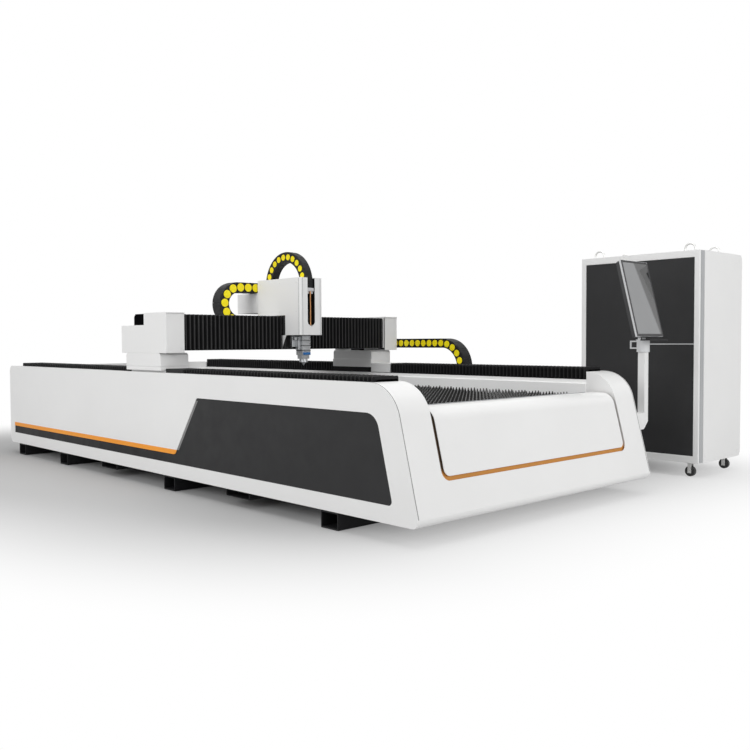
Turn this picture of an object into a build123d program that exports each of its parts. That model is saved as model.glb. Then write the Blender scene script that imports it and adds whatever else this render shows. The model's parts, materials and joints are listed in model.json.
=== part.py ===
# Open-bed fiber laser cutting machine with its control cabinet, as an assembly of named pieces.
# Millimetres, +Z up. +X points to the operator's end of the bed, -Y to its decorated long side.
# The origin is on the floor, under the middle of the whole set.
import os
from math import cos, hypot, pi, radians, sin, tan

from build123d import *

os.makedirs("parts", exist_ok=True)

# Overall sizes of the bed and the cabinet beside it
bed_length = 5510
bed_width = 2320
bed_top = 842
skirt_bottom = 103
wall_width = 240
aisle = 834
cabinet_width = 1038
cabinet_depth = 726
cabinet_bottom = 110
cabinet_top = 1747
cabinet_setback = 75
sheet = 4
overrun = 20
fit_gap = 0.5
small_sides = 12
wheel_sides = 20

# Ends of the bed cover
end_lean = 190
end_top_radius = 230
end_bottom_radius = 40
end_cover_reach = 372
under_lip = 70
far_cap_depth = 90
far_cap_radius = 60

# Panel decoration on the near long side
inset_bottom = 200
inset_top = 680
strip_top = 300
stripe_height = 34
stripe_end_share = 0.0626
slant_foot_share = 0.0708
slant_run = 274
inset_end_margin = 168
inset_top_radius = 100
inset_corner_radius = 25
strip_start_gap = 15
inset_lap = 15

# Centre panel of the operator's end, its groove and the ledge behind it
groove_bottom = 318
groove_width = 24
groove_radius = 58
end_panel_radius = 40
groove_depth = 14
end_panel_top = 703
roll_radius = 95
end_panel_run = 150
ledge_width = 70
spacer_inset = 60
spacer_width = 40
spacer_bottom = 380
spacer_top = 600

# Welded frame under the covers
floor_tube_height = 100
floor_tube_width = 150
tube_wall = 8
floor_tube_shares = (0.3876, 0.0645, -0.264, -0.4346)
cross_tube_drop = 43
cross_tube_width = 270
cross_tube_chamfer = 10
cross_tube_wall = 5
cross_tube_shares = (0.2314, -0.0971)
frame_inset = 8
frame_beam_width = 192
frame_beam_top = 690
frame_wall = 10
upstand_width = 12
flange_width = 36
cross_channel_count = 5
cross_channel_width = 120
cross_channel_height = 120
end_plate_height = 430

# Rails, racks and bellows on the two side walls
rail_width = 35
rail_height = 35
rail_inset = 120
rack_inset = 172
rack_size = 28
rail_end_gap = 60
bellows_inset = 42
bellows_bottom = 786
bellows_top = 871
pleat_depth = 20
bellows_wall = 12
bellows_roof = 14
bellows_far_gap = 126
bellows_near_gap = 2
bed_pleats = 15

# Cutting bed
slat_count = 40
slat_thickness = 5
slat_height = 105
slat_top = 700
tooth_depth = 32
tooth_count = 5
slat_end_gap = 16
carrier_width = 40
carrier_height = 60
inner_wall_bottom = 545
inner_wall_step = 14
inner_wall_step_height = 760
tray_top = 470
tray_bottom = 240
tray_lip = 60

# Gantry, measured from its own middle
gantry_x = -82
foot_length = 520
foot_width = 232
foot_top = 983
foot_chamfer = 16
foot_skirt_bottom = 832
saddle_bottom = 780
saddle_inset = 42
saddle_plate_bottom = 855
saddle_plate_top = 885
pedestal_length = 180
pedestal_width = 80
block_length = 110
block_width = 90
block_drop = 22
housing_depth = 150
housing_front = 347
housing_rear = 332
housing_step = 20
housing_step_top = 1191
housing_top = 1270
lid_lip = 6
lid_height = 10
beam_rear = 26
beam_front = 277
beam_bottom = 1000
beam_top = 1258
beam_wall = 12
beam_inset = 60
y_rail_size = 25
y_rail_edge = 32
y_rack_size = 30
y_rail_end_gap = 20
servo_size = 156
servo_rear = 150
gearbox_size = 110
gearbox_top = 1010
servo_inset = 12
servo_top = 1275
servo_chamfer = 20
servo_depth_share = 0.85
gearbox_inset = 10
tray_rear = 395
tray_floor_top = 1192
tray_floor = 10
tray_upstand = 40
gusset_count = 3
gusset_thickness = 10
gusset_drop = 150
beam_bellows_front = 337
beam_bellows_bottom = 1003
beam_bellows_top = 1266
beam_pleats = 15
beam_pleat_depth = 18
beam_bellows_wall = 8

# Carriage and cutting head, measured from the middle of the gantry and the bed
carriage_width = 220
carriage_plate_rear = 322
carriage_plate_front = 367
carriage_plate_bottom = 1005
carriage_plate_top = 1480
y_block_length = 70
y_block_height = 54
cover_rear = -3
cover_front = 563
cover_floor = 1272
cover_front_bottom = 1114
cover_top = 1565
cover_edge_radius = 12
slot_width = 74
slot_bottom = 1186
chain_box_rear = 300
chain_box_bottom = 1300
chain_box_top = 1464
z_rail_size = 18
z_rail_bottom = 1012
z_rail_top = 1470
z_rail_spread = 100
screw_x = 420
screw_radius = 12.5
screw_bottom = 1212
motor_size = 70
motor_top = 1535
motor_shelf = 12
head_plate_width = 150
head_plate_thickness = 20
head_plate_bottom = 1050
z_block_width = 36
z_block_height = 70
z_block_low = 1160
z_block_high = 1340
clamp_bottom = 1440
clamp_top = 1460
clamp_width = 66
clamp_front = 545
head_size = 80
head_x = 458
head_bottom = 979
head_top = 1180
head_spacer_width = 60
head_spacer_bottom = 1060
head_spacer_top = 1160
lens_band_height = 24
lens_band_size = 86
lens_pull = 14
nozzle_block_size = 68
nozzle_block_height = 30
nozzle_holder_radius = 33
nozzle_holder_height = 27
nozzle_cone_height = 25
nozzle_collar_height = 3
nozzle_base_radius = 17
nozzle_tip_radius = 4

# Cable chains: link height, link pitch, middle radius of the bend and lengths of the two strands
x_chain_height = 80
x_chain_pitch = 72
x_chain_radius = 210
x_chain_top = 1043
x_chain_width = 110
x_chain_gap = 30
x_chain_bend = 870
x_chain_upper = 1120
x_chain_lower = 1060
y_chain_height = 84
y_chain_pitch = 73
y_chain_radius = 136
y_chain_width = 120
y_chain_side = -13
y_chain_bend = 294
y_chain_upper = 390
y_chain_lower = 450
z_chain_height = 84
z_chain_pitch = 64
z_chain_radius = 229
z_chain_width = 66
z_chain_middle = 1517
link_clearance = 2
arch_room = 30
notch_depth = 9
disc_sides = 6
disc_share = 0.47
disc_thickness = 5
trough_depth = 170
trough_wall = 5
trough_rise = 90
trough_front_room = 1240
chain_bracket_length = 160
chain_bracket_thickness = 12

# Operator panel on its post
post_setback = 240
post_size = 54
post_stand_off = 300
post_top = 974
arm_bottom = 410
arm_height = 120
arm_chamfer = 55
arm_plate = 12
arm_plate_size = 200
collar_radius = 46
collar_height = 91
ear_thickness = 12
ear_reach = 10
ear_gap = 50
pin_radius = 7
screen_width = 370
screen_height = 568
screen_depth = 45
screen_lean = 14
screen_bottom = 1090
screen_front = 60
screen_chamfer = 10
screen_border = 16
glass_thickness = 3
hinge_up = 60
hinge_back = 60
lug_height = 40
shelf_thickness = 6
shelf_width = 260
shelf_near = 15
shelf_reach = 125
ring_reach = 105
ring_height = 60
ring_wall = 10
ring_drop = 8

# Control and laser-source cabinet
post_strip = 42
rail_strip = 55
panel_thickness = 20
panel_recess = 5
front_recess = 3
front_split_share = 0.52
front_seam = 1029
panel_seam = 4
source_width_share = 0.6
source_height = 520
rack_width_share = 0.7
rack_height = 620
rack_depth = 260
module_gap = 60
eye_inset_x = 120
eye_inset_y = 86
eye_back_inset_y = 230
eye_radius = 50
eye_hole_radius = 34
eye_rise = 18
eye_thickness = 14
eye_sides = 8
caster_inset_x = 70
caster_inset_y = 70
caster_plate = 80
caster_plate_thickness = 6
caster_radius = 40
caster_width = 30
caster_trail = 22
caster_side_gap = 2
fork_thickness = 5
fork_width = 30
axle_radius = 4

# Places worked out from the sizes above
set_depth = bed_width + aisle + cabinet_depth
near_y = -set_depth / 2
far_y = near_y + bed_width
mid_y = near_y + bed_width / 2
lean_slope = end_lean / (bed_top - skirt_bottom)
corner_loss = end_bottom_radius * (lean_slope + hypot(1, lean_slope) - 1)
end_x = bed_length / 2 + corner_loss
far_x = -bed_length / 2
seam_x = far_x + far_cap_depth
end_cover_x = end_x - end_cover_reach
frame_front_x = end_cover_x
bellows_far_x = seam_x + bellows_far_gap
bellows_near_x = end_cover_x - bellows_near_gap
saddle_rear_x = gantry_x - foot_length / 2
saddle_front_x = gantry_x + foot_length / 2
inner_y = near_y + wall_width
near_share, far_share = -1, 1


def end_face_x(z):
    """Place along X of the leaning end face at height z."""
    return end_x - lean_slope * (z - skirt_bottom)


def slab(x_from, x_to, y_from, y_to, z_from, z_to, mode=Mode.ADD):
    """Add or cut one box between two corners."""
    with Locations(((x_from + x_to) / 2, (y_from + y_to) / 2, (z_from + z_to) / 2)):
        Box(x_to - x_from, y_to - y_from, z_to - z_from, mode=mode)


def wall_slab(edge, x_from, x_to, inset_from, inset_to, z_from, z_to, mode=Mode.ADD):
    """Add or cut one box measured inwards from the near (-1) or far (1) side of the bed."""
    outer = mid_y + edge * (bed_width / 2 - inset_from)
    inner = mid_y + edge * (bed_width / 2 - inset_to)
    slab(x_from, x_to, min(outer, inner), max(outer, inner), z_from, z_to, mode)


def side_plane(y):
    """Plane across Y whose drawing axes are X and Z, facing the near side."""
    return Plane(origin=(0, y, 0), x_dir=(1, 0, 0), z_dir=(0, -1, 0))


def end_plane(x):
    """Plane across X whose drawing axes are Y and Z."""
    return Plane(origin=(x, 0, 0), x_dir=(0, 1, 0), z_dir=(1, 0, 0))


def prism(points, plane, depth, mode=Mode.ADD):
    """Extrude one outline of straight edges from its plane."""
    with BuildSketch(plane) as outline:
        Polygon(*points, align=None)
    extrude(to_extrude=outline.sketch, amount=depth, mode=mode)


def pleats(start, stop, count, low, high):
    """Zigzag of (place, height) points for a folded cover."""
    step = (stop - start) / count
    folds = []
    for fold in range(count):
        folds.append((start + fold * step, low))
        folds.append((start + (fold + 1 / 2) * step, high))
    folds.append((stop, low))
    return folds


def chain_joints(upper, radius, lower, pitch):
    """Pivots along a chain that leaves on the upper strand, bends and comes back on the lower one."""
    length = upper + pi * radius + lower
    count = round(length / pitch)
    joints = []
    for joint in range(count + 1):
        way = joint * length / count
        turn = (way - upper) / radius
        if way <= upper:
            joints.append((way - upper, radius))
        elif turn <= pi:
            joints.append((radius * sin(turn), radius * cos(turn)))
        else:
            joints.append((upper + pi * radius - way, -radius))
    return joints


def chain_outline(joints, radius, height):
    """Closed outline of a chain's links, with a notch over each pivot on the outer side."""
    half = height / 2
    pitch = hypot(joints[1][0] - joints[0][0], joints[1][1] - joints[0][1])
    gap = half * tan(pitch / radius / 2) + link_clearance
    outer, inner = [], []
    for (u_from, w_from), (u_to, w_to) in zip(joints, joints[1:]):
        run = hypot(u_to - u_from, w_to - w_from)
        along_u = (u_to - u_from) / run
        along_w = (w_to - w_from) / run
        start_u, start_w = u_from + gap * along_u, w_from + gap * along_w
        stop_u, stop_w = u_to - gap * along_u, w_to - gap * along_w
        outer.append((start_u - half * along_w, start_w + half * along_u))
        outer.append((stop_u - half * along_w, stop_w + half * along_u))
        if not inner:
            inner.append((start_u + half * along_w, start_w - half * along_u))
        neck = half - notch_depth
        outer.append((u_to - neck * along_w, w_to + neck * along_u))
        middle_u = (u_from + u_to) / 2
        middle_w = (w_from + w_to) / 2
        inner.append((middle_u + half * along_w, middle_w - half * along_u))
    inner.append((stop_u + half * along_w, stop_w - half * along_u))
    return outer[:-1] + inner[::-1]


def discs(joints, pitch, plane, depth):
    """Hub discs over the pivots of a chain, on one face."""
    with BuildSketch(plane) as faces:
        with Locations(*joints):
            RegularPolygon(pitch * disc_share, disc_sides)
    extrude(to_extrude=faces.sketch, amount=depth)


def bed_outline():
    """Side view of the bed cover: square at the far seam, leaning and rounded at the operator's end."""
    with BuildSketch() as outline:
        Polygon(
            (seam_x, skirt_bottom),
            (end_x, skirt_bottom),
            (end_x - end_lean, bed_top),
            (seam_x, bed_top),
            align=None,
        )
        fillet(outline.vertices().sort_by(Axis.X)[-1], end_bottom_radius)
        fillet(outline.vertices().group_by(Axis.Y)[-1].sort_by(Axis.X)[-1], end_top_radius)
    return outline.sketch_local


def bent_sheet(path, radii, plane, depth):
    """Sheet bent along a path of straight runs and extruded across, with its outer face on the path."""
    with BuildSketch(plane) as section:
        with BuildLine():
            FilletPolyline(*path, radius=radii)
            offset(amount=sheet, side=Side.LEFT)
        make_face()
    extrude(to_extrude=section.sketch, amount=depth)


# Bed: four square floor tubes across the width, open at both sides
with BuildPart() as floor_tubes:
    for place_share in floor_tube_shares:
        front = place_share * bed_length
        slab(front - floor_tube_width, front, near_y, far_y, 0, floor_tube_height)
        slab(
            front - floor_tube_width + tube_wall,
            front - tube_wall,
            near_y - overrun,
            far_y + overrun,
            tube_wall,
            floor_tube_height - tube_wall,
            Mode.SUBTRACT,
        )
floor_tubes.part.label = "floor_tubes"
export_step(floor_tubes.part, "parts/floor_tubes.step")

# Bed: two flat tubes under the frame
with BuildPart() as cross_tubes:
    for place_share in cross_tube_shares:
        middle = place_share * bed_length - cross_tube_width / 2
        with BuildSketch(side_plane(far_y - sheet)) as tube_section:
            with Locations((middle, floor_tube_height - cross_tube_drop / 2)):
                Rectangle(cross_tube_width, cross_tube_drop)
                chamfer(tube_section.vertices(), cross_tube_chamfer)
                Rectangle(
                    cross_tube_width - 2 * cross_tube_chamfer,
                    cross_tube_drop - 2 * cross_tube_wall,
                    mode=Mode.SUBTRACT,
                )
        extrude(amount=bed_width - 2 * sheet)
cross_tubes.part.label = "cross_tubes"
export_step(cross_tubes.part, "parts/cross_tubes.step")

# Bed: welded frame of two tall side beams, channels between them and end plates
beam_inner_inset = frame_inset + frame_beam_width
with BuildPart() as bed_frame:
    for edge in (near_share, far_share):
        wall_slab(edge, seam_x, frame_front_x, frame_inset, beam_inner_inset, floor_tube_height, frame_beam_top)
        wall_slab(
            edge,
            seam_x - overrun,
            frame_front_x + overrun,
            frame_inset + frame_wall,
            beam_inner_inset - frame_wall,
            floor_tube_height + frame_wall,
            frame_beam_top - frame_wall,
            Mode.SUBTRACT,
        )
        wall_slab(
            edge,
            seam_x,
            bellows_near_x,
            frame_inset,
            frame_inset + upstand_width,
            frame_beam_top,
            bed_top - sheet,
        )
    channel_step = (frame_front_x - seam_x) / (cross_channel_count + 1)
    for channel in range(cross_channel_count):
        middle = seam_x + (channel + 1) * channel_step
        wall_slab(
            near_share,
            middle - cross_channel_width / 2,
            middle + cross_channel_width / 2,
            beam_inner_inset,
            bed_width - beam_inner_inset,
            floor_tube_height,
            floor_tube_height + cross_channel_height,
        )
        wall_slab(
            near_share,
            middle - cross_channel_width / 2 + frame_wall,
            middle + cross_channel_width / 2 - frame_wall,
            beam_inner_inset,
            bed_width - beam_inner_inset,
            floor_tube_height,
            floor_tube_height + cross_channel_height - frame_wall,
            Mode.SUBTRACT,
        )
    for plate_x in (seam_x, frame_front_x - frame_wall):
        wall_slab(
            near_share,
            plate_x,
            plate_x + frame_wall,
            beam_inner_inset,
            bed_width - beam_inner_inset,
            floor_tube_height,
            floor_tube_height + end_plate_height,
        )
bed_frame.part.label = "bed_frame"
export_step(bed_frame.part, "parts/bed_frame.step")


def inset_points(lap):
    """Dark field of the near side: a long low strip that climbs into a leaning panel."""
    slant_x = slant_foot_share * bed_length
    return [
        (seam_x + strip_start_gap - lap, inset_bottom - lap),
        (end_face_x(inset_bottom) - inset_end_margin + lap, inset_bottom - lap),
        (end_face_x(inset_top) - inset_end_margin + lap, inset_top + lap),
        (slant_x + slant_run - lap, inset_top + lap),
        (slant_x - lap, strip_top + lap),
        (seam_x + strip_start_gap - lap, strip_top + lap),
    ]


# Bed: near side panel, a folded sheet with the field cut out
with BuildPart() as near_side_panel:
    with BuildSketch(side_plane(near_y + sheet)):
        add(bed_outline())
        Polygon(*inset_points(0), align=None, mode=Mode.SUBTRACT)
    extrude(amount=sheet)
    field_edges = near_side_panel.edges().filter_by(Axis.Y).group_by(SortBy.LENGTH)[0]
    field_right = field_edges.filter_by_position(Axis.Z, inset_bottom, inset_top).sort_by(Axis.X)
    fillet(field_right.filter_by_position(Axis.Z, inset_top - fit_gap, inset_top)[-1], inset_top_radius)
    fillet(field_right.filter_by_position(Axis.Z, inset_top - fit_gap, inset_top)[0], inset_corner_radius)
    fillet(field_right.filter_by_position(Axis.Z, inset_bottom, inset_bottom + fit_gap)[-1], inset_corner_radius)
    slab(seam_x, bellows_near_x, near_y, near_y + flange_width, bed_top - sheet, bed_top)
near_side_panel.part.label = "near_side_panel"
export_step(near_side_panel.part, "parts/near_side_panel.step")

# Bed: dark field set behind the cut-out
with BuildPart() as side_inset_panel:
    prism(inset_points(inset_lap), side_plane(near_y + 2 * sheet), sheet)
side_inset_panel.part.label = "side_inset_panel"
export_step(side_inset_panel.part, "parts/side_inset_panel.step")

# Bed: bright stripe with a round end, along the top of the strip
with BuildPart() as side_stripe:
    stripe_end = stripe_end_share * bed_length
    with BuildSketch(side_plane(near_y + sheet)):
        with BuildLine():
            Line((seam_x + strip_start_gap, strip_top), (seam_x + strip_start_gap, strip_top - stripe_height))
            Line(
                (seam_x + strip_start_gap, strip_top - stripe_height),
                (stripe_end - stripe_height / 2, strip_top - stripe_height),
            )
            ThreePointArc(
                (stripe_end - stripe_height / 2, strip_top - stripe_height),
                (stripe_end, strip_top - stripe_height / 2),
                (stripe_end - stripe_height / 2, strip_top),
            )
            Line((stripe_end - stripe_height / 2, strip_top), (seam_x + strip_start_gap, strip_top))
        make_face()
    extrude(amount=sheet)
side_stripe.part.label = "side_stripe"
export_step(side_stripe.part, "parts/side_stripe.step")

# Bed: plain far side panel
with BuildPart() as far_side_panel:
    with BuildSketch(side_plane(far_y)):
        add(bed_outline())
    extrude(amount=sheet)
    slab(seam_x, bellows_near_x, far_y - flange_width, far_y, bed_top - sheet, bed_top)
far_side_panel.part.label = "far_side_panel"
export_step(far_side_panel.part, "parts/far_side_panel.step")

# Operator's end: one bent cover, open in the middle, with cheeks inside the two arms
cover_path = [
    (end_x - under_lip, skirt_bottom),
    (end_x, skirt_bottom),
    (end_x - end_lean, bed_top),
    (end_cover_x, bed_top),
]
with BuildPart() as near_end_cover:
    bent_sheet(cover_path, [end_bottom_radius, end_top_radius], side_plane(far_y - sheet), bed_width - 2 * sheet)
    with BuildSketch(end_plane(end_cover_x - overrun)):
        with Locations((mid_y, (groove_bottom + bed_top + end_top_radius) / 2)):
            RectangleRounded(
                bed_width - 2 * wall_width,
                bed_top + end_top_radius - groove_bottom,
                groove_radius,
            )
    extrude(amount=end_cover_reach + 2 * overrun, mode=Mode.SUBTRACT)
    for cheek_y in (inner_y, far_y - wall_width + sheet):
        with BuildSketch(side_plane(cheek_y)):
            add(bed_outline())
            with Locations((end_cover_x, groove_bottom)):
                Rectangle(end_cover_reach, bed_top, align=Align.MIN, mode=Mode.INTERSECT)
        extrude(amount=sheet)
near_end_cover.part.label = "near_end_cover"
export_step(near_end_cover.part, "parts/near_end_cover.step")


def end_centre_path(depth, bottom, run):
    """Path of a sheet in the middle of the operator's end, set back by a depth and rolled over on top."""
    return [
        (end_face_x(bottom) - depth, bottom),
        (end_face_x(end_panel_top) - depth, end_panel_top - depth),
        (end_face_x(end_panel_top) - depth - run, end_panel_top - depth),
    ]


# Operator's end: bright backing sheet that shows in the groove
with BuildPart() as end_backing:
    bent_sheet(
        end_centre_path(groove_depth, groove_bottom - groove_width, end_panel_run),
        roll_radius,
        side_plane(far_y - wall_width),
        bed_width - 2 * wall_width,
    )
end_backing.part.label = "end_backing"
export_step(end_backing.part, "parts/end_backing.step")

# Operator's end: white centre panel, on two spacer bars that stand on the backing
panel_bottom = groove_bottom + groove_width
panel_half = bed_width / 2 - wall_width - groove_width
with BuildPart() as end_panel:
    bent_sheet(
        end_centre_path(0, panel_bottom, end_panel_run),
        roll_radius,
        side_plane(mid_y + panel_half),
        2 * panel_half,
    )
    corner_edges = end_panel.edges().filter_by(lambda edge: abs(edge.length - sheet) < fit_gap)
    fillet(corner_edges.group_by(Axis.Z)[0], end_panel_radius)
    for bar_y in (mid_y - panel_half + spacer_inset + spacer_width, mid_y + panel_half - spacer_inset):
        prism(
            [
                (end_face_x(spacer_bottom) - sheet, spacer_bottom),
                (end_face_x(spacer_top) - sheet, spacer_top),
                (end_face_x(spacer_top) - groove_depth, spacer_top),
                (end_face_x(spacer_bottom) - groove_depth, spacer_bottom),
            ],
            side_plane(bar_y),
            spacer_width,
        )
end_panel.part.label = "end_panel"
export_step(end_panel.part, "parts/end_panel.step")

# Far end: a hollow cap with rounded edges, its inner wall and short lids over the ends of the two arms
with BuildPart() as far_end_cover:
    with BuildSketch(side_plane(far_y)):
        with Locations((far_x + far_cap_depth / 2, (skirt_bottom + bed_top) / 2)):
            Rectangle(far_cap_depth, bed_top - skirt_bottom)
    extrude(amount=bed_width)
    fillet(far_end_cover.edges().filter_by(Axis.Y).group_by(Axis.X)[0], far_cap_radius)
    for cavity_x, cavity_inset in ((far_x + far_cap_radius, sheet), (far_x + sheet, far_cap_radius)):
        slab(
            cavity_x,
            seam_x + overrun,
            near_y + sheet,
            far_y - sheet,
            skirt_bottom + cavity_inset,
            bed_top - cavity_inset,
            Mode.SUBTRACT,
        )
    slab(
        seam_x - sheet,
        seam_x,
        inner_y - sheet,
        far_y - wall_width + sheet,
        inner_wall_bottom,
        bed_top - sheet,
    )
    for edge in (near_share, far_share):
        wall_slab(edge, seam_x, bellows_far_x, flange_width, wall_width, bed_top - sheet, bed_top)
        wall_slab(edge, seam_x, bellows_far_x, wall_width - sheet, wall_width, bellows_bottom, bed_top)
        wall_slab(
            edge,
            bellows_far_x - sheet,
            bellows_far_x,
            flange_width,
            wall_width,
            bellows_bottom,
            bed_top,
        )
far_end_cover.part.label = "far_end_cover"
export_step(far_end_cover.part, "parts/far_end_cover.step")

# Side walls: inner sheet with a step, from the frame beam up to the bellows
with BuildPart() as inner_walls:
    for edge in (near_share, far_share):
        wall_slab(edge, seam_x, end_cover_x, wall_width - sheet, wall_width, inner_wall_bottom, bellows_bottom)
        wall_slab(
            edge,
            seam_x,
            end_cover_x,
            wall_width,
            wall_width + inner_wall_step,
            inner_wall_bottom,
            inner_wall_step_height,
        )
        wall_slab(
            edge,
            seam_x,
            end_cover_x,
            beam_inner_inset,
            wall_width,
            inner_wall_bottom,
            inner_wall_bottom + frame_wall,
        )
inner_walls.part.label = "inner_walls"
export_step(inner_walls.part, "parts/inner_walls.step")

# Side walls: ground guide rails and toothed racks, on the frame beams
with BuildPart() as x_rails:
    for edge in (near_share, far_share):
        wall_slab(
            edge,
            seam_x + rail_end_gap,
            bellows_near_x - rail_end_gap,
            rail_inset - rail_width / 2,
            rail_inset + rail_width / 2,
            frame_beam_top,
            frame_beam_top + rail_height,
        )
        wall_slab(
            edge,
            seam_x + rail_end_gap,
            bellows_near_x - rail_end_gap,
            rack_inset,
            rack_inset + rack_size,
            frame_beam_top,
            frame_beam_top + rack_size,
        )
x_rails.part.label = "x_rails"
export_step(x_rails.part, "parts/x_rails.step")

# Side walls: pleated covers over the rails, before and behind each foot of the gantry
with BuildPart() as bed_bellows:
    for edge in (near_share, far_share):
        wall_middle = mid_y + edge * (bed_width / 2 - (bellows_inset + wall_width) / 2)
        half_width = (wall_width - bellows_inset) / 2
        for start, stop in ((bellows_far_x, saddle_rear_x), (saddle_front_x, bellows_near_x)):
            folds = pleats(start, stop, bed_pleats, bellows_top - pleat_depth, bellows_top)
            prism(
                [(start, bellows_bottom)] + folds + [(stop, bellows_bottom)],
                side_plane(wall_middle + half_width),
                2 * half_width,
            )
            slab(
                start,
                stop,
                wall_middle - half_width + bellows_wall,
                wall_middle + half_width - bellows_wall,
                bellows_bottom,
                bellows_top - pleat_depth - bellows_roof,
                Mode.SUBTRACT,
            )
bed_bellows.part.label = "bed_bellows"
export_step(bed_bellows.part, "parts/bed_bellows.step")

# Cutting bed: bars along both walls and a ledge across the operator's end
slat_bottom = slat_top - slat_height
slat_wall_inset = wall_width + inner_wall_step
slat_far_x = seam_x + bellows_far_gap
slat_near_x = end_cover_x - ledge_width
with BuildPart() as slat_carriers:
    for edge in (near_share, far_share):
        wall_slab(
            edge,
            slat_far_x,
            slat_near_x,
            slat_wall_inset,
            slat_wall_inset + carrier_width,
            slat_bottom - carrier_height,
            slat_bottom,
        )
    wall_slab(
        near_share,
        slat_near_x,
        end_cover_x,
        slat_wall_inset,
        bed_width - slat_wall_inset,
        slat_bottom - carrier_height,
        slat_bottom,
    )
    wall_slab(
        near_share,
        end_cover_x - frame_wall,
        end_cover_x,
        slat_wall_inset,
        bed_width - slat_wall_inset,
        slat_bottom,
        slat_top,
    )
slat_carriers.part.label = "slat_carriers"
export_step(slat_carriers.part, "parts/slat_carriers.step")

# Cutting bed: upright toothed slats across the bed
slat_half = bed_width / 2 - slat_wall_inset - slat_end_gap
with BuildPart() as slats:
    slat_step = (slat_near_x - slat_far_x) / slat_count
    teeth = pleats(mid_y - slat_half, mid_y + slat_half, tooth_count, slat_top - tooth_depth, slat_top)
    slat_outline = [(mid_y - slat_half, slat_bottom)] + teeth + [(mid_y + slat_half, slat_bottom)]
    for slat in range(slat_count):
        prism(slat_outline, end_plane(slat_far_x + (slat + 1 / 2) * slat_step), slat_thickness)
slats.part.label = "slats"
export_step(slats.part, "parts/slats.step")

# Cutting bed: trough-shaped scrap tray hung between the frame beams
with BuildPart() as scrap_tray:
    tray_inset = beam_inner_inset + tray_lip
    wall_slab(
        near_share,
        slat_far_x,
        slat_near_x,
        tray_inset,
        bed_width - tray_inset,
        tray_bottom,
        tray_top,
    )
    wall_slab(
        near_share,
        slat_far_x + sheet,
        slat_near_x - sheet,
        tray_inset + sheet,
        bed_width - tray_inset - sheet,
        tray_bottom + sheet,
        tray_top + overrun,
        Mode.SUBTRACT,
    )
    for edge in (near_share, far_share):
        wall_slab(edge, slat_far_x, slat_near_x, beam_inner_inset, tray_inset + sheet, tray_top - sheet, tray_top)
scrap_tray.part.label = "scrap_tray"
export_step(scrap_tray.part, "parts/scrap_tray.step")

# Far side: trough for the long cable chain
x_chain_bend_x = gantry_x + x_chain_bend
x_chain_middle = x_chain_top - x_chain_radius
trough_floor_top = x_chain_middle - x_chain_radius - x_chain_height / 2
trough_far_x = x_chain_bend_x - x_chain_lower - overrun
trough_near_x = x_chain_bend_x + trough_front_room
with BuildPart() as chain_trough:
    slab(
        trough_far_x,
        trough_near_x,
        far_y,
        far_y + trough_depth,
        trough_floor_top - trough_wall,
        trough_floor_top + trough_rise,
    )
    slab(
        trough_far_x - overrun,
        trough_near_x + overrun,
        far_y + trough_wall,
        far_y + trough_depth - trough_wall,
        trough_floor_top,
        trough_floor_top + trough_rise + overrun,
        Mode.SUBTRACT,
    )
chain_trough.part.label = "chain_trough"
export_step(chain_trough.part, "parts/chain_trough.step")

# Far side: cable chain from the gantry to the trough
x_chain_near_y = far_y + x_chain_gap
x_joints = chain_joints(x_chain_upper, x_chain_radius, x_chain_lower, x_chain_pitch)
x_places = [(x_chain_bend_x + u, x_chain_middle + w) for u, w in x_joints]
with BuildPart() as x_chain:
    prism(
        [
            (x_chain_bend_x + u, x_chain_middle + w)
            for u, w in chain_outline(x_joints, x_chain_radius, x_chain_height)
        ],
        side_plane(x_chain_near_y + x_chain_width),
        x_chain_width,
    )
x_chain.part.label = "x_chain"
export_step(x_chain.part, "parts/x_chain.step")

with BuildPart() as x_chain_discs:
    discs(x_places[1:-1], x_chain_pitch, side_plane(x_chain_near_y), disc_thickness)
x_chain_discs.part.label = "x_chain_discs"
export_step(x_chain_discs.part, "parts/x_chain_discs.step")

# Gantry: steel saddles on guide blocks, with the pedestals that carry the beam
pedestal_middle = gantry_x + (beam_rear + beam_front) / 2
with BuildPart() as saddles:
    for edge in (near_share, far_share):
        wall_slab(
            edge,
            saddle_rear_x,
            saddle_front_x,
            saddle_inset,
            wall_width - sheet - fit_gap,
            saddle_bottom,
            saddle_plate_bottom,
        )
        wall_slab(edge, saddle_rear_x, saddle_front_x, 0, foot_width, saddle_plate_bottom, saddle_plate_top)
        wall_slab(
            edge,
            pedestal_middle - pedestal_length / 2,
            pedestal_middle + pedestal_length / 2,
            beam_inset,
            beam_inset + pedestal_width,
            saddle_plate_top,
            beam_bottom,
        )
        for block_x in (saddle_rear_x, saddle_front_x - block_length):
            wall_slab(
                edge,
                block_x,
                block_x + block_length,
                rail_inset - block_width / 2,
                rail_inset + block_width / 2,
                frame_beam_top + rail_height - block_drop,
                saddle_bottom,
            )
            wall_slab(
                edge,
                block_x,
                block_x + block_length,
                rail_inset - rail_width / 2 - fit_gap,
                rail_inset + rail_width / 2 + fit_gap,
                frame_beam_top + rail_height - block_drop,
                frame_beam_top + rail_height + fit_gap,
                Mode.SUBTRACT,
            )
    slab(
        saddle_rear_x,
        saddle_rear_x + chain_bracket_length,
        far_y,
        far_y + chain_bracket_thickness,
        saddle_plate_bottom,
        x_chain_top - x_chain_height / 2,
    )
    slab(
        saddle_rear_x,
        saddle_rear_x + chain_bracket_length,
        far_y,
        x_chain_near_y + x_chain_width,
        x_chain_top - x_chain_height / 2 - chain_bracket_thickness,
        x_chain_top - x_chain_height / 2,
    )
saddles.part.label = "saddles"
export_step(saddles.part, "parts/saddles.step")

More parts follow.
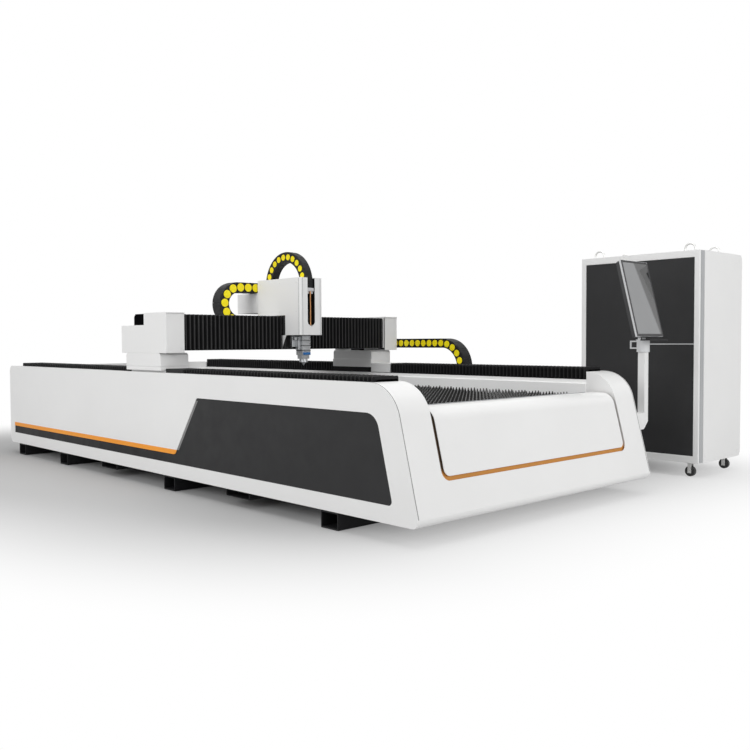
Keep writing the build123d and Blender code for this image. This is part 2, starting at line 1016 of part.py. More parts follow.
# Gantry: vertical servo motors with their gearboxes, on the saddles behind the beam
servo_rear_x = gantry_x - servo_rear
with BuildPart() as x_servos:
    for edge in (near_share, far_share):
        gearbox_margin = (servo_size - gearbox_size) / 2
        wall_slab(
            edge,
            servo_rear_x,
            servo_rear_x + servo_size,
            servo_inset,
            servo_inset + servo_size * servo_depth_share,
            gearbox_top,
            servo_top,
        )
    chamfer(x_servos.edges().filter_by(Axis.Y).group_by(Axis.Z)[-1], servo_chamfer)
    for edge in (near_share, far_share):
        wall_slab(
            edge,
            servo_rear_x + gearbox_margin,
            servo_rear_x + gearbox_margin + gearbox_size,
            servo_inset + gearbox_inset,
            servo_inset + gearbox_inset + gearbox_size,
            saddle_plate_top,
            gearbox_top,
        )
x_servos.part.label = "x_servos"
export_step(x_servos.part, "parts/x_servos.step")

# Gantry: white foot covers, open below, each with a skirt down its inner side
with BuildPart() as foot_covers:
    for edge in (near_share, far_share):
        wall_slab(edge, saddle_rear_x, saddle_front_x, 0, foot_width, saddle_plate_top, foot_top)
    chamfer(foot_covers.edges().filter_by(Axis.Y).group_by(Axis.Z)[-1], foot_chamfer)
    for edge in (near_share, far_share):
        wall_slab(
            edge,
            saddle_rear_x + sheet,
            saddle_front_x - sheet,
            sheet,
            foot_width - sheet,
            saddle_plate_top,
            foot_top - foot_chamfer,
            Mode.SUBTRACT,
        )
        wall_slab(
            edge,
            saddle_rear_x + foot_chamfer,
            saddle_front_x - foot_chamfer,
            sheet,
            housing_depth - sheet,
            saddle_plate_top,
            foot_top + overrun,
            Mode.SUBTRACT,
        )
        wall_slab(
            edge,
            saddle_rear_x,
            saddle_front_x,
            foot_width,
            wall_width,
            saddle_plate_bottom,
            saddle_plate_top + foot_chamfer,
        )
        wall_slab(
            edge,
            saddle_rear_x,
            saddle_front_x,
            wall_width - sheet,
            wall_width,
            foot_skirt_bottom,
            saddle_plate_bottom,
        )
foot_covers.part.label = "foot_covers"
export_step(foot_covers.part, "parts/foot_covers.step")


def housing_points(wall):
    """Side view of an end housing: tall over the beam, with a lower step behind it."""
    return [
        (gantry_x - housing_rear + wall, foot_top + wall),
        (gantry_x + housing_front - wall, foot_top + wall),
        (gantry_x + housing_front - wall, housing_top - wall),
        (gantry_x + housing_step + wall, housing_top - wall),
        (gantry_x + housing_step + wall, housing_step_top - wall),
        (gantry_x - housing_rear + wall, housing_step_top - wall),
    ]


# Gantry: sheet housings at both ends of the beam, open towards the beam
with BuildPart() as end_housings:
    for edge in (near_share, far_share):
        outer = mid_y + edge * bed_width / 2
        inner = outer - edge * housing_depth
        prism(housing_points(0), side_plane(max(outer, inner)), housing_depth)
        cavity = sorted((outer - edge * sheet, inner - edge * overrun))
        prism(housing_points(sheet), side_plane(cavity[1]), cavity[1] - cavity[0], Mode.SUBTRACT)
        wall_slab(
            edge,
            saddle_rear_x + foot_chamfer,
            saddle_front_x - foot_chamfer,
            sheet,
            housing_depth,
            foot_top - overrun,
            foot_top + 2 * sheet,
            Mode.SUBTRACT,
        )
        wall_slab(
            edge,
            servo_rear_x - fit_gap,
            servo_rear_x + servo_size + fit_gap,
            servo_inset - fit_gap,
            housing_depth,
            gearbox_top,
            housing_top + overrun,
            Mode.SUBTRACT,
        )
        wall_slab(
            edge,
            gantry_x + housing_step - lid_lip,
            gantry_x + housing_front + lid_lip,
            0,
            housing_depth,
            housing_top,
            housing_top + lid_height,
        )
end_housings.part.label = "end_housings"
export_step(end_housings.part, "parts/end_housings.step")

# Gantry: hollow beam on the pedestals
with BuildPart() as beam:
    wall_slab(
        near_share,
        gantry_x + beam_rear,
        gantry_x + beam_front,
        beam_inset,
        bed_width - beam_inset,
        beam_bottom,
        beam_top,
    )
    wall_slab(
        near_share,
        gantry_x + beam_rear + beam_wall,
        gantry_x + beam_front - beam_wall,
        beam_inset - overrun,
        bed_width - beam_inset + overrun,
        beam_bottom + beam_wall,
        beam_top - beam_wall,
        Mode.SUBTRACT,
    )
beam.part.label = "beam"
export_step(beam.part, "parts/beam.step")

# Gantry: two rails and a rack on the front face of the beam
rail_heights = (beam_bottom + y_rail_edge, beam_top - y_rail_edge)
with BuildPart() as y_rails:
    for rail_z in rail_heights:
        wall_slab(
            near_share,
            gantry_x + beam_front,
            gantry_x + beam_front + y_rail_size,
            housing_depth + y_rail_end_gap,
            bed_width - housing_depth - y_rail_end_gap,
            rail_z - y_rail_size / 2,
            rail_z + y_rail_size / 2,
        )
    wall_slab(
        near_share,
        gantry_x + beam_front,
        gantry_x + beam_front + y_rack_size,
        housing_depth + y_rail_end_gap,
        bed_width - housing_depth - y_rail_end_gap,
        (beam_bottom + beam_top - y_rack_size) / 2,
        (beam_bottom + beam_top + y_rack_size) / 2,
    )
y_rails.part.label = "y_rails"
export_step(y_rails.part, "parts/y_rails.step")

# Gantry: sheet tray for the carriage's cable chain, on gussets behind the beam
with BuildPart() as chain_tray:
    wall_slab(
        near_share,
        gantry_x - tray_rear,
        gantry_x + beam_rear,
        housing_depth,
        bed_width - housing_depth,
        tray_floor_top - tray_floor,
        tray_floor_top,
    )
    wall_slab(
        near_share,
        gantry_x - tray_rear,
        gantry_x - tray_rear + sheet,
        housing_depth,
        bed_width - housing_depth,
        tray_floor_top - tray_floor,
        tray_floor_top + tray_upstand,
    )
    gusset_step = (bed_width - 2 * housing_depth) / (gusset_count + 1)
    for gusset in range(gusset_count):
        prism(
            [
                (gantry_x - tray_rear + sheet, tray_floor_top - tray_floor),
                (gantry_x + beam_rear, tray_floor_top - tray_floor - gusset_drop),
                (gantry_x + beam_rear, tray_floor_top - tray_floor),
            ],
            side_plane(near_y + housing_depth + (gusset + 1) * gusset_step),
            gusset_thickness,
        )
chain_tray.part.label = "chain_tray"
export_step(chain_tray.part, "parts/chain_tray.step")

# Gantry: pleated covers over the beam's rails, on both sides of the carriage
carriage_near_y = mid_y - carriage_width / 2
carriage_far_y = mid_y + carriage_width / 2
with BuildPart() as beam_bellows:
    fold_front = gantry_x + beam_bellows_front
    for start, stop in (
        (near_y + housing_depth, carriage_near_y),
        (carriage_far_y, far_y - housing_depth),
    ):
        folds = [(x, y) for y, x in pleats(start, stop, beam_pleats, fold_front - beam_pleat_depth, fold_front)]
        prism(
            [(gantry_x + beam_front, start)] + folds + [(gantry_x + beam_front, stop)],
            Plane.XY.offset(beam_bellows_bottom),
            beam_bellows_top - beam_bellows_bottom,
        )
        slab(
            gantry_x + beam_front,
            fold_front - beam_pleat_depth - beam_bellows_wall,
            start,
            stop,
            beam_bellows_bottom + beam_bellows_wall,
            beam_top,
            Mode.SUBTRACT,
        )
beam_bellows.part.label = "beam_bellows"
export_step(beam_bellows.part, "parts/beam_bellows.step")

# Gantry: cable chain from the tray up to the carriage
y_chain_bend_y = mid_y - y_chain_bend
y_chain_middle = tray_floor_top + y_chain_height / 2 + y_chain_radius
y_chain_front_x = gantry_x + y_chain_side
y_joints = chain_joints(y_chain_upper, y_chain_radius, y_chain_lower, y_chain_pitch)
with BuildPart() as y_chain:
    prism(
        [
            (y_chain_bend_y - u, y_chain_middle + w)
            for u, w in chain_outline(y_joints, y_chain_radius, y_chain_height)
        ],
        end_plane(y_chain_front_x - y_chain_width),
        y_chain_width,
    )
y_chain.part.label = "y_chain"
export_step(y_chain.part, "parts/y_chain.step")

with BuildPart() as y_chain_discs:
    discs(
        [(y_chain_bend_y - u, y_chain_middle + w) for u, w in y_joints[1:-1]],
        y_chain_pitch,
        end_plane(y_chain_front_x),
        disc_thickness,
    )
y_chain_discs.part.label = "y_chain_discs"
export_step(y_chain_discs.part, "parts/y_chain_discs.step")

# Carriage: thick plate on guide blocks, with a shelf for the motor
plate_rear_x = gantry_x + carriage_plate_rear
plate_front_x = gantry_x + carriage_plate_front
with BuildPart() as carriage_plate:
    slab(plate_rear_x, plate_front_x, carriage_near_y, carriage_far_y, carriage_plate_bottom, cover_floor)
    slab(
        plate_rear_x,
        plate_front_x,
        carriage_near_y + sheet,
        carriage_far_y - sheet,
        cover_floor,
        carriage_plate_top,
    )
    slab(
        plate_rear_x,
        gantry_x + screw_x + motor_size / 2,
        mid_y - motor_size / 2,
        mid_y + motor_size / 2,
        carriage_plate_top,
        carriage_plate_top + motor_shelf,
    )
    for rail_z in rail_heights:
        for block_y in (carriage_near_y, carriage_far_y - y_block_length):
            slab(
                gantry_x + beam_front + fit_gap,
                plate_rear_x,
                block_y,
                block_y + y_block_length,
                rail_z - y_block_height / 2,
                rail_z + y_block_height / 2,
            )
            slab(
                gantry_x + beam_front,
                gantry_x + beam_front + y_rail_size + fit_gap,
                block_y,
                block_y + y_block_length,
                rail_z - y_rail_size / 2 - fit_gap,
                rail_z + y_rail_size / 2 + fit_gap,
                Mode.SUBTRACT,
            )
carriage_plate.part.label = "carriage_plate"
export_step(carriage_plate.part, "parts/carriage_plate.step")


def cover_points(wall, bottom):
    """Side view of the carriage cover: a box over the beam with a taller front in front of it."""
    return [
        (gantry_x + cover_rear + wall, cover_floor + wall),
        (plate_front_x + wall, cover_floor + wall),
        (plate_front_x + wall, bottom),
        (gantry_x + cover_front - wall, bottom),
        (gantry_x + cover_front - wall, cover_top - wall),
        (gantry_x + cover_rear + wall, cover_top - wall),
    ]


# Carriage: white sheet cover with a slot in front and an opening on top for the cables
z_chain_front_x = gantry_x + clamp_front - z_chain_height / 2
z_chain_middle_x = z_chain_front_x - z_chain_radius
z_chain_rear_x = z_chain_middle_x - z_chain_radius
with BuildPart() as carriage_cover:
    prism(cover_points(0, cover_front_bottom), side_plane(carriage_far_y), carriage_width)
    fillet(carriage_cover.edges().filter_by(Axis.Z).group_by(Axis.X)[-1], cover_edge_radius)
    prism(
        cover_points(sheet, cover_front_bottom - overrun),
        side_plane(carriage_far_y - sheet),
        carriage_width - 2 * sheet,
        Mode.SUBTRACT,
    )
    slab(
        plate_rear_x,
        plate_front_x + 2 * sheet,
        carriage_near_y + sheet,
        carriage_far_y - sheet,
        cover_floor - overrun,
        cover_floor + 2 * sheet,
        Mode.SUBTRACT,
    )
    slab(
        plate_front_x,
        plate_front_x + 2 * sheet,
        carriage_near_y + sheet,
        carriage_far_y - sheet,
        cover_front_bottom - overrun,
        cover_floor + overrun,
        Mode.SUBTRACT,
    )
    slot_rear_x = z_chain_front_x - z_chain_height / 2 - arch_room
    with BuildSketch(end_plane(slot_rear_x)):
        with Locations((mid_y, slot_bottom + slot_width / 2)):
            Circle(slot_width / 2)
        with Locations((mid_y, (slot_bottom + slot_width / 2 + cover_top + overrun) / 2)):
            Rectangle(slot_width, cover_top + overrun - slot_bottom - slot_width / 2)
    extrude(amount=gantry_x + cover_front + overrun - slot_rear_x, mode=Mode.SUBTRACT)
    slab(
        z_chain_rear_x - z_chain_height / 2 - link_clearance,
        z_chain_rear_x + z_chain_height / 2 + arch_room,
        mid_y - slot_width / 2,
        mid_y + slot_width / 2,
        cover_top - overrun,
        cover_top + overrun,
        Mode.SUBTRACT,
    )
carriage_cover.part.label = "carriage_cover"
export_step(carriage_cover.part, "parts/carriage_cover.step")

# Carriage: box behind the cover that carries the end of the beam's cable chain
with BuildPart() as chain_box:
    slab(
        gantry_x - chain_box_rear,
        gantry_x + cover_rear,
        carriage_near_y,
        carriage_far_y,
        chain_box_bottom,
        chain_box_top,
    )
    slab(
        gantry_x - chain_box_rear + sheet,
        gantry_x + cover_rear - sheet,
        carriage_near_y + sheet,
        carriage_far_y - sheet,
        chain_box_bottom - overrun,
        chain_box_top - sheet,
        Mode.SUBTRACT,
    )
chain_box.part.label = "chain_box"
export_step(chain_box.part, "parts/chain_box.step")

# Carriage: rails for the up and down motion of the head
with BuildPart() as z_rails:
    for rail_y in (mid_y - z_rail_spread / 2, mid_y + z_rail_spread / 2):
        slab(
            plate_front_x,
            plate_front_x + z_rail_size,
            rail_y - z_rail_size / 2,
            rail_y + z_rail_size / 2,
            z_rail_bottom,
            z_rail_top,
        )
z_rails.part.label = "z_rails"
export_step(z_rails.part, "parts/z_rails.step")

# Carriage: ball screw under its motor
with BuildPart() as ball_screw:
    with BuildSketch(Plane.XY.offset(screw_bottom)):
        with Locations((gantry_x + screw_x, mid_y)):
            Circle(screw_radius)
    extrude(amount=carriage_plate_top - screw_bottom)
ball_screw.part.label = "ball_screw"
export_step(ball_screw.part, "parts/ball_screw.step")

with BuildPart() as z_motor:
    slab(
        gantry_x + screw_x - motor_size / 2,
        gantry_x + screw_x + motor_size / 2,
        mid_y - motor_size / 2,
        mid_y + motor_size / 2,
        carriage_plate_top + motor_shelf,
        motor_top,
    )
z_motor.part.label = "z_motor"
export_step(z_motor.part, "parts/z_motor.step")

# Carriage: arched cable chain from the cover down to the head
z_chain_front_leg = z_chain_middle - clamp_top
z_chain_rear_leg = z_chain_middle - cover_floor - sheet
z_joints = chain_joints(z_chain_front_leg, z_chain_radius, z_chain_rear_leg, z_chain_pitch)
with BuildPart() as z_chain:
    prism(
        [
            (z_chain_middle_x + w, z_chain_middle + u)
            for u, w in chain_outline(z_joints, z_chain_radius, z_chain_height)
        ],
        side_plane(mid_y + z_chain_width / 2),
        z_chain_width,
    )
z_chain.part.label = "z_chain"
export_step(z_chain.part, "parts/z_chain.step")

with BuildPart() as z_chain_discs:
    discs(
        [(z_chain_middle_x + w, z_chain_middle + u) for u, w in z_joints[1:-1]],
        z_chain_pitch,
        side_plane(mid_y - z_chain_width / 2),
        slot_width / 2 - z_chain_width / 2 - fit_gap,
    )
z_chain_discs.part.label = "z_chain_discs"
export_step(z_chain_discs.part, "parts/z_chain_discs.step")

# Head: sliding plate on its blocks, with the arm that holds the chain and the screw nut
head_plate_x = plate_front_x + z_rail_size + fit_gap
with BuildPart() as head_plate:
    slab(
        head_plate_x,
        head_plate_x + head_plate_thickness,
        mid_y - head_plate_width / 2,
        mid_y + head_plate_width / 2,
        head_plate_bottom,
        clamp_top,
    )
    for rail_y in (mid_y - z_rail_spread / 2, mid_y + z_rail_spread / 2):
        for block_z in (z_block_low, z_block_high):
            for jaw in (-1, 1):
                jaw_from = rail_y + jaw * (z_rail_size / 2 + fit_gap)
                jaw_to = rail_y + jaw * z_block_width / 2
                slab(
                    plate_front_x + fit_gap,
                    head_plate_x,
                    min(jaw_from, jaw_to),
                    max(jaw_from, jaw_to),
                    block_z,
                    block_z + z_block_height,
                )
    slab(
        head_plate_x + head_plate_thickness,
        gantry_x + clamp_front,
        mid_y - clamp_width / 2,
        mid_y + clamp_width / 2,
        clamp_bottom,
        clamp_top,
    )
    with BuildSketch(Plane.XY.offset(clamp_bottom)):
        with Locations((gantry_x + screw_x, mid_y)):
            RegularPolygon(screw_radius + fit_gap, small_sides, major_radius=False)
    extrude(amount=clamp_top - clamp_bottom, mode=Mode.SUBTRACT)
head_plate.part.label = "head_plate"
export_step(head_plate.part, "parts/head_plate.step")

# Head: body with its spacer against the sliding plate
head_mid_x = gantry_x + head_x
with BuildPart() as head_body:
    slab(
        head_mid_x - head_size / 2,
        head_mid_x + head_size / 2,
        mid_y - head_size / 2,
        mid_y + head_size / 2,
        head_bottom,
        head_top,
    )
    slab(
        head_plate_x + head_plate_thickness,
        head_mid_x - head_size / 2,
        mid_y - head_spacer_width / 2,
        mid_y + head_spacer_width / 2,
        head_spacer_bottom,
        head_spacer_top,
    )
head_body.part.label = "head_body"
export_step(head_body.part, "parts/head_body.step")

# Head: lens drawer with its pull
with BuildPart() as lens_drawer:
    slab(
        head_mid_x - lens_band_size / 2,
        head_mid_x + lens_band_size / 2,
        mid_y - lens_band_size / 2,
        mid_y + lens_band_size / 2,
        head_bottom - lens_band_height,
        head_bottom,
    )
    with Locations((head_mid_x + lens_band_size / 2 + lens_pull / 2, mid_y, head_bottom - lens_band_height / 2)):
        Box(lens_pull, head_spacer_width, lens_band_height / 2)
lens_drawer.part.label = "lens_drawer"
export_step(lens_drawer.part, "parts/lens_drawer.step")

# Head: nozzle block, round holder and cone
lens_bottom = head_bottom - lens_band_height
with BuildPart() as nozzle:
    slab(
        head_mid_x - nozzle_block_size / 2,
        head_mid_x + nozzle_block_size / 2,
        mid_y - nozzle_block_size / 2,
        mid_y + nozzle_block_size / 2,
        lens_bottom - nozzle_block_height,
        lens_bottom,
    )
    holder_bottom = lens_bottom - nozzle_block_height - nozzle_holder_height
    with BuildSketch(Plane.XY.offset(holder_bottom)):
        with Locations((head_mid_x, mid_y)):
            RegularPolygon(nozzle_holder_radius, small_sides)
    extrude(amount=nozzle_holder_height)
    with BuildSketch(Plane.XY.offset(holder_bottom)):
        with Locations((head_mid_x, mid_y)):
            RegularPolygon(nozzle_base_radius, small_sides)
    extrude(amount=-nozzle_cone_height)
    tip_edges = nozzle.faces().sort_by(Axis.Z)[0].edges()
    chamfer(tip_edges, nozzle_cone_height - nozzle_collar_height, nozzle_base_radius - nozzle_tip_radius)
nozzle.part.label = "nozzle"
export_step(nozzle.part, "parts/nozzle.step")

# Operator panel: bracket and post, one welded elbow on the far side of the bed
post_x = end_x - post_setback
post_y = far_y + post_stand_off
with BuildPart() as panel_post:
    prism(
        [
            (far_y, arm_bottom),
            (post_y + post_size / 2 - arm_chamfer, arm_bottom),
            (post_y + post_size / 2, arm_bottom + arm_chamfer),
            (post_y + post_size / 2, post_top),
            (post_y - post_size / 2, post_top),
            (post_y - post_size / 2, arm_bottom + arm_height),
            (far_y, arm_bottom + arm_height),
        ],
        end_plane(post_x - post_size / 2),
        post_size,
    )
    slab(
        post_x - arm_plate_size / 2,
        post_x + arm_plate_size / 2,
        far_y,
        far_y + arm_plate,
        arm_bottom + (arm_height - arm_plate_size) / 2,
        arm_bottom + (arm_height + arm_plate_size) / 2,
    )
panel_post.part.label = "panel_post"
export_step(panel_post.part, "parts/panel_post.step")

# Operator panel: turning collar with two ears, a hinge pin, a shelf and a pull ring
lean_sin = sin(radians(screen_lean))
lean_cos = cos(radians(screen_lean))
screen_foot_x = post_x + screen_front
hinge_x = screen_foot_x - hinge_up * lean_sin - hinge_back * lean_cos
hinge_z = screen_bottom + hinge_up * lean_cos - hinge_back * lean_sin
collar_top = post_top + collar_height
with BuildPart() as swivel_collar:
    with BuildSketch(Plane.XY.offset(post_top)):
        with Locations((post_x, post_y)):
            Circle(collar_radius)
    extrude(amount=collar_height)
    for ear_y in (post_y - ear_gap / 2 - ear_thickness, post_y + ear_gap / 2):
        slab(
            hinge_x - ear_reach,
            hinge_x + ear_reach,
            ear_y,
            ear_y + ear_thickness,
            collar_top - overrun,
            hinge_z + ear_reach,
        )
    with BuildSketch(side_plane(post_y + ear_gap / 2)):
        with Locations((hinge_x, hinge_z)):
            Circle(pin_radius)
    extrude(amount=ear_gap)
    slab(
        post_x + shelf_near,
        post_x + shelf_reach,
        post_y - shelf_width / 2,
        post_y + shelf_width / 2,
        collar_top - shelf_thickness,
        collar_top,
    )
    slab(
        post_x - ring_reach,
        post_x,
        post_y - ring_wall / 2,
        post_y + ring_wall / 2,
        collar_top - ring_height - ring_drop,
        collar_top - ring_drop,
    )
    slab(
        post_x - ring_reach + ring_wall,
        post_x - collar_radius,
        post_y - ring_wall,
        post_y + ring_wall,
        collar_top - ring_height - ring_drop + ring_wall,
        collar_top - ring_drop - ring_wall,
        Mode.SUBTRACT,
    )
swivel_collar.part.label = "swivel_collar"
export_step(swivel_collar.part, "parts/swivel_collar.step")

# Operator panel: upright screen housing that leans back, with its hinge lug
screen_plane = Plane(
    origin=(screen_foot_x, post_y, screen_bottom),
    x_dir=(0, 1, 0),
    z_dir=(lean_cos, 0, lean_sin),
)
with BuildPart() as screen_housing:
    with BuildSketch(screen_plane):
        with Locations((0, screen_height / 2)):
            Rectangle(screen_width, screen_height)
    extrude(amount=-screen_depth)
    back_face = screen_housing.faces().sort_by(Axis.X)[0]
    chamfer(back_face.edges(), screen_chamfer)
    with BuildSketch(screen_plane):
        with Locations((0, screen_height / 2)):
            Rectangle(screen_width - 2 * screen_border, screen_height - 2 * screen_border)
    extrude(amount=-glass_thickness, mode=Mode.SUBTRACT)
    with BuildSketch(screen_plane.offset(-screen_depth)):
        with Locations((0, hinge_up)):
            Rectangle(ear_gap - 2 * fit_gap, lug_height)
    extrude(amount=screen_depth - 2 * hinge_back + ear_reach + pin_radius)
    with BuildSketch(side_plane(post_y + ear_gap)):
        with Locations((hinge_x, hinge_z)):
            Circle(pin_radius + fit_gap)
    extrude(amount=2 * ear_gap, mode=Mode.SUBTRACT)
screen_housing.part.label = "screen_housing"
export_step(screen_housing.part, "parts/screen_housing.step")

with BuildPart() as screen_glass:
    with BuildSketch(screen_plane):
        with Locations((0, screen_height / 2)):
            Rectangle(screen_width - 2 * screen_border, screen_height - 2 * screen_border)
    extrude(amount=-glass_thickness)
screen_glass.part.label = "screen_glass"
export_step(screen_glass.part, "parts/screen_glass.step")

# Cabinet: welded frame with roof and floor
cabinet_right = end_x - cabinet_setback
cabinet_left = cabinet_right - cabinet_width
cabinet_front = far_y + aisle
cabinet_back = cabinet_front + cabinet_depth
opening_bottom = cabinet_bottom + rail_strip
opening_top = cabinet_top - rail_strip
with BuildPart() as cabinet_frame:
    slab(cabinet_left, cabinet_right, cabinet_front, cabinet_back, cabinet_bottom, cabinet_top)
    slab(
        cabinet_left + post_strip,
        cabinet_right - post_strip,
        cabinet_front - overrun,
        cabinet_back + overrun,
        opening_bottom,
        opening_top,
        Mode.SUBTRACT,
    )
    slab(
        cabinet_left - overrun,
        cabinet_right + overrun,
        cabinet_front + post_strip,
        cabinet_back - post_strip,
        opening_bottom,
        opening_top,
        Mode.SUBTRACT,
    )
    slab(
        cabinet_left + post_strip,
        cabinet_right - post_strip,
        cabinet_front + post_strip,
        cabinet_back - post_strip,
        cabinet_bottom + sheet,
        cabinet_top - sheet,
        Mode.SUBTRACT,
    )
cabinet_frame.part.label = "cabinet_frame"
export_step(cabinet_frame.part, "parts/cabinet_frame.step")

# Cabinet: white side and back panels in the frame's openings
with BuildPart() as cabinet_panels:
    for panel_x in (cabinet_left + panel_recess, cabinet_right - panel_recess - panel_thickness):
        slab(
            panel_x,
            panel_x + panel_thickness,
            cabinet_front + post_strip,
            cabinet_back - post_strip,
            opening_bottom,
            opening_top,
        )
    slab(
        cabinet_left + post_strip,
        cabinet_right - post_strip,
        cabinet_back - panel_recess - panel_thickness,
        cabinet_back - panel_recess,
        opening_bottom,
        opening_top,
    )
cabinet_panels.part.label = "cabinet_panels"
export_step(cabinet_panels.part, "parts/cabinet_panels.step")

# Cabinet: dark front panels, a tall one and two shorter ones beside it
front_split = cabinet_left + front_split_share * cabinet_width
with BuildPart() as front_panels:
    for left, right, bottom, top in (
        (cabinet_left + post_strip, front_split - panel_seam / 2, opening_bottom, opening_top),
        (front_split + panel_seam / 2, cabinet_right - post_strip, opening_bottom, front_seam - panel_seam / 2),
        (front_split + panel_seam / 2, cabinet_right - post_strip, front_seam + panel_seam / 2, opening_top),
    ):
        slab(
            left,
            right,
            cabinet_front + front_recess,
            cabinet_front + front_recess + panel_thickness,
            bottom,
            top,
        )
front_panels.part.label = "front_panels"
export_step(front_panels.part, "parts/front_panels.step")

# Cabinet: laser source on the floor and the drive rack above it
with BuildPart() as cabinet_modules:
    cabinet_mid_x = (cabinet_left + cabinet_right) / 2
    source_half = source_width_share * cabinet_width / 2
    source_bottom = cabinet_bottom + sheet
    slab(
        cabinet_mid_x - source_half,
        cabinet_mid_x + source_half,
        cabinet_front + post_strip + module_gap,
        cabinet_back - post_strip - module_gap,
        source_bottom,
        source_bottom + source_height,
    )
    rack_half = rack_width_share * cabinet_width / 2
    rack_back = cabinet_back - panel_recess - panel_thickness
    slab(
        cabinet_mid_x - rack_half,
        cabinet_mid_x + rack_half,
        rack_back - rack_depth,
        rack_back,
        opening_top - module_gap - rack_height,
        opening_top - module_gap,
    )
cabinet_modules.part.label = "cabinet_modules"
export_step(cabinet_modules.part, "parts/cabinet_modules.step")

# Cabinet: four lifting eyes on the roof
with BuildPart() as lifting_eyes:
    for eye_x in (cabinet_left + eye_inset_x, cabinet_right - eye_inset_x):
        for eye_y in (cabinet_front + eye_inset_y, cabinet_back - eye_back_inset_y):
            with BuildSketch(side_plane(eye_y + eye_thickness / 2)):
                with Locations((eye_x, cabinet_top + eye_rise)):
                    RegularPolygon(eye_radius, small_sides)
                    RegularPolygon(eye_hole_radius, small_sides, mode=Mode.SUBTRACT)
                with Locations((eye_x, cabinet_top + eye_radius)):
                    Rectangle(2 * eye_radius, 2 * eye_radius, mode=Mode.INTERSECT)
            extrude(amount=eye_thickness)
lifting_eyes.part.label = "lifting_eyes"
export_step(lifting_eyes.part, "parts/lifting_eyes.step")

# Cabinet: four swivel casters, each a fork with its axle and a wheel
caster_places = []
for caster_x in (cabinet_left + caster_inset_x, cabinet_right - caster_inset_x):
    for caster_y in (cabinet_front + caster_inset_y, cabinet_back - caster_inset_y):
        caster_places.append((caster_x, caster_y))
fork_half = caster_width / 2 + caster_side_gap
for number, (caster_x, caster_y) in enumerate(caster_places, start=1):
    wheel_x = caster_x - caster_trail
    with BuildPart() as caster_fork:
        slab(
            caster_x - caster_plate / 2,
            caster_x + caster_plate / 2,
            caster_y - caster_plate / 2,
            caster_y + caster_plate / 2,
            cabinet_bottom - caster_plate_thickness,
            cabinet_bottom,
        )
        for leg_y in (caster_y - fork_half - fork_thickness, caster_y + fork_half):
            slab(
                wheel_x - fork_width / 2,
                wheel_x + fork_width / 2,
                leg_y,
                leg_y + fork_thickness,
                caster_radius - fork_width / 2,
                cabinet_bottom - caster_plate_thickness,
            )
        with BuildSketch(side_plane(caster_y + fork_half)):
            with Locations((wheel_x, caster_radius)):
                Circle(axle_radius)
        extrude(amount=2 * fork_half)
    caster_fork.part.label = f"caster_fork_{number}"
    export_step(caster_fork.part, f"parts/caster_fork_{number}.step")

    with BuildPart() as caster_wheel:
        with BuildSketch(side_plane(caster_y + caster_width / 2)):
            with Locations((wheel_x, caster_radius)):
                RegularPolygon(caster_radius, wheel_sides, major_radius=False, rotation=180 / wheel_sides)
                RegularPolygon(axle_radius + fit_gap, eye_sides, major_radius=False, mode=Mode.SUBTRACT)
        extrude(amount=caster_width)
    caster_wheel.part.label = f"caster_wheel_{number}"
    export_step(caster_wheel.part, f"parts/caster_wheel_{number}.step")
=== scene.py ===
# %% [markdown]
# # An open-bed fiber laser cutter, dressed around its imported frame
# The machine is a long white bed with a moving bridge across it, a cutting head on the
# bridge, an operator screen on a post and a control cabinet beside it. The rigid solids
# come from the CAD model, already at their real size. This script only gives them their
# finishes, and builds the parts that are too fine for solids: folded covers, cable chains,
# toothed slats and fasteners. Everything is in metres, in the same frame as the CAD.

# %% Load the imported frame
import json
import math

import bpy
from mathutils import Matrix, Vector

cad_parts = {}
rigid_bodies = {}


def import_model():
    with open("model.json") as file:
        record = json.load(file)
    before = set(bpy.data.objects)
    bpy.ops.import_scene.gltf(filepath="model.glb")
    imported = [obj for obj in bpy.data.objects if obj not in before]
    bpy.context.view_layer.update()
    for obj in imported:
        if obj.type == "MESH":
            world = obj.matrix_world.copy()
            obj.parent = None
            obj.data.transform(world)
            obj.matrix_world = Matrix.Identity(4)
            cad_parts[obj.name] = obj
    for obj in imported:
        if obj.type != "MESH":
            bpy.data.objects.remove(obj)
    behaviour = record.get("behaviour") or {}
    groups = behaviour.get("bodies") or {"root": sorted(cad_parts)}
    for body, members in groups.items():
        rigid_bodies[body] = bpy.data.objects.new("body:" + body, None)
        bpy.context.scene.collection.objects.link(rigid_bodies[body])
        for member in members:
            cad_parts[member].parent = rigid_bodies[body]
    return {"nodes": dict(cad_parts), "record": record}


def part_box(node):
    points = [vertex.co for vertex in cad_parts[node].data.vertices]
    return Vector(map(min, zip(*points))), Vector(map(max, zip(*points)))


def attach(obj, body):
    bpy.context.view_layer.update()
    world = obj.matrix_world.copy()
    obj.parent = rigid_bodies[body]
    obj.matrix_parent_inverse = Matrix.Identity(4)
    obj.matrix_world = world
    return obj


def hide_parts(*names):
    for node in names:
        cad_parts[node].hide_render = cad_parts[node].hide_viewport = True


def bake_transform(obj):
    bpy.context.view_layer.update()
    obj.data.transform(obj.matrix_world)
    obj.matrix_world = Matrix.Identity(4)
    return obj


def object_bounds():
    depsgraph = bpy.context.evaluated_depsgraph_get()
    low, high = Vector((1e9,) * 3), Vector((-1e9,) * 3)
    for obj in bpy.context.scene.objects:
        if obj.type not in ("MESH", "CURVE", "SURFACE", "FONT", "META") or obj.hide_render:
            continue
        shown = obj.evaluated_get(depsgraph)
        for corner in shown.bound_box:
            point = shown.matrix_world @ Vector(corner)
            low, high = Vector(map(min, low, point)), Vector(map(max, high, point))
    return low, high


for leftover in list(bpy.data.objects):
    bpy.data.objects.remove(leftover)
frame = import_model()
nodes = frame["nodes"]
scene = bpy.context.scene
cad_low, cad_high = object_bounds()
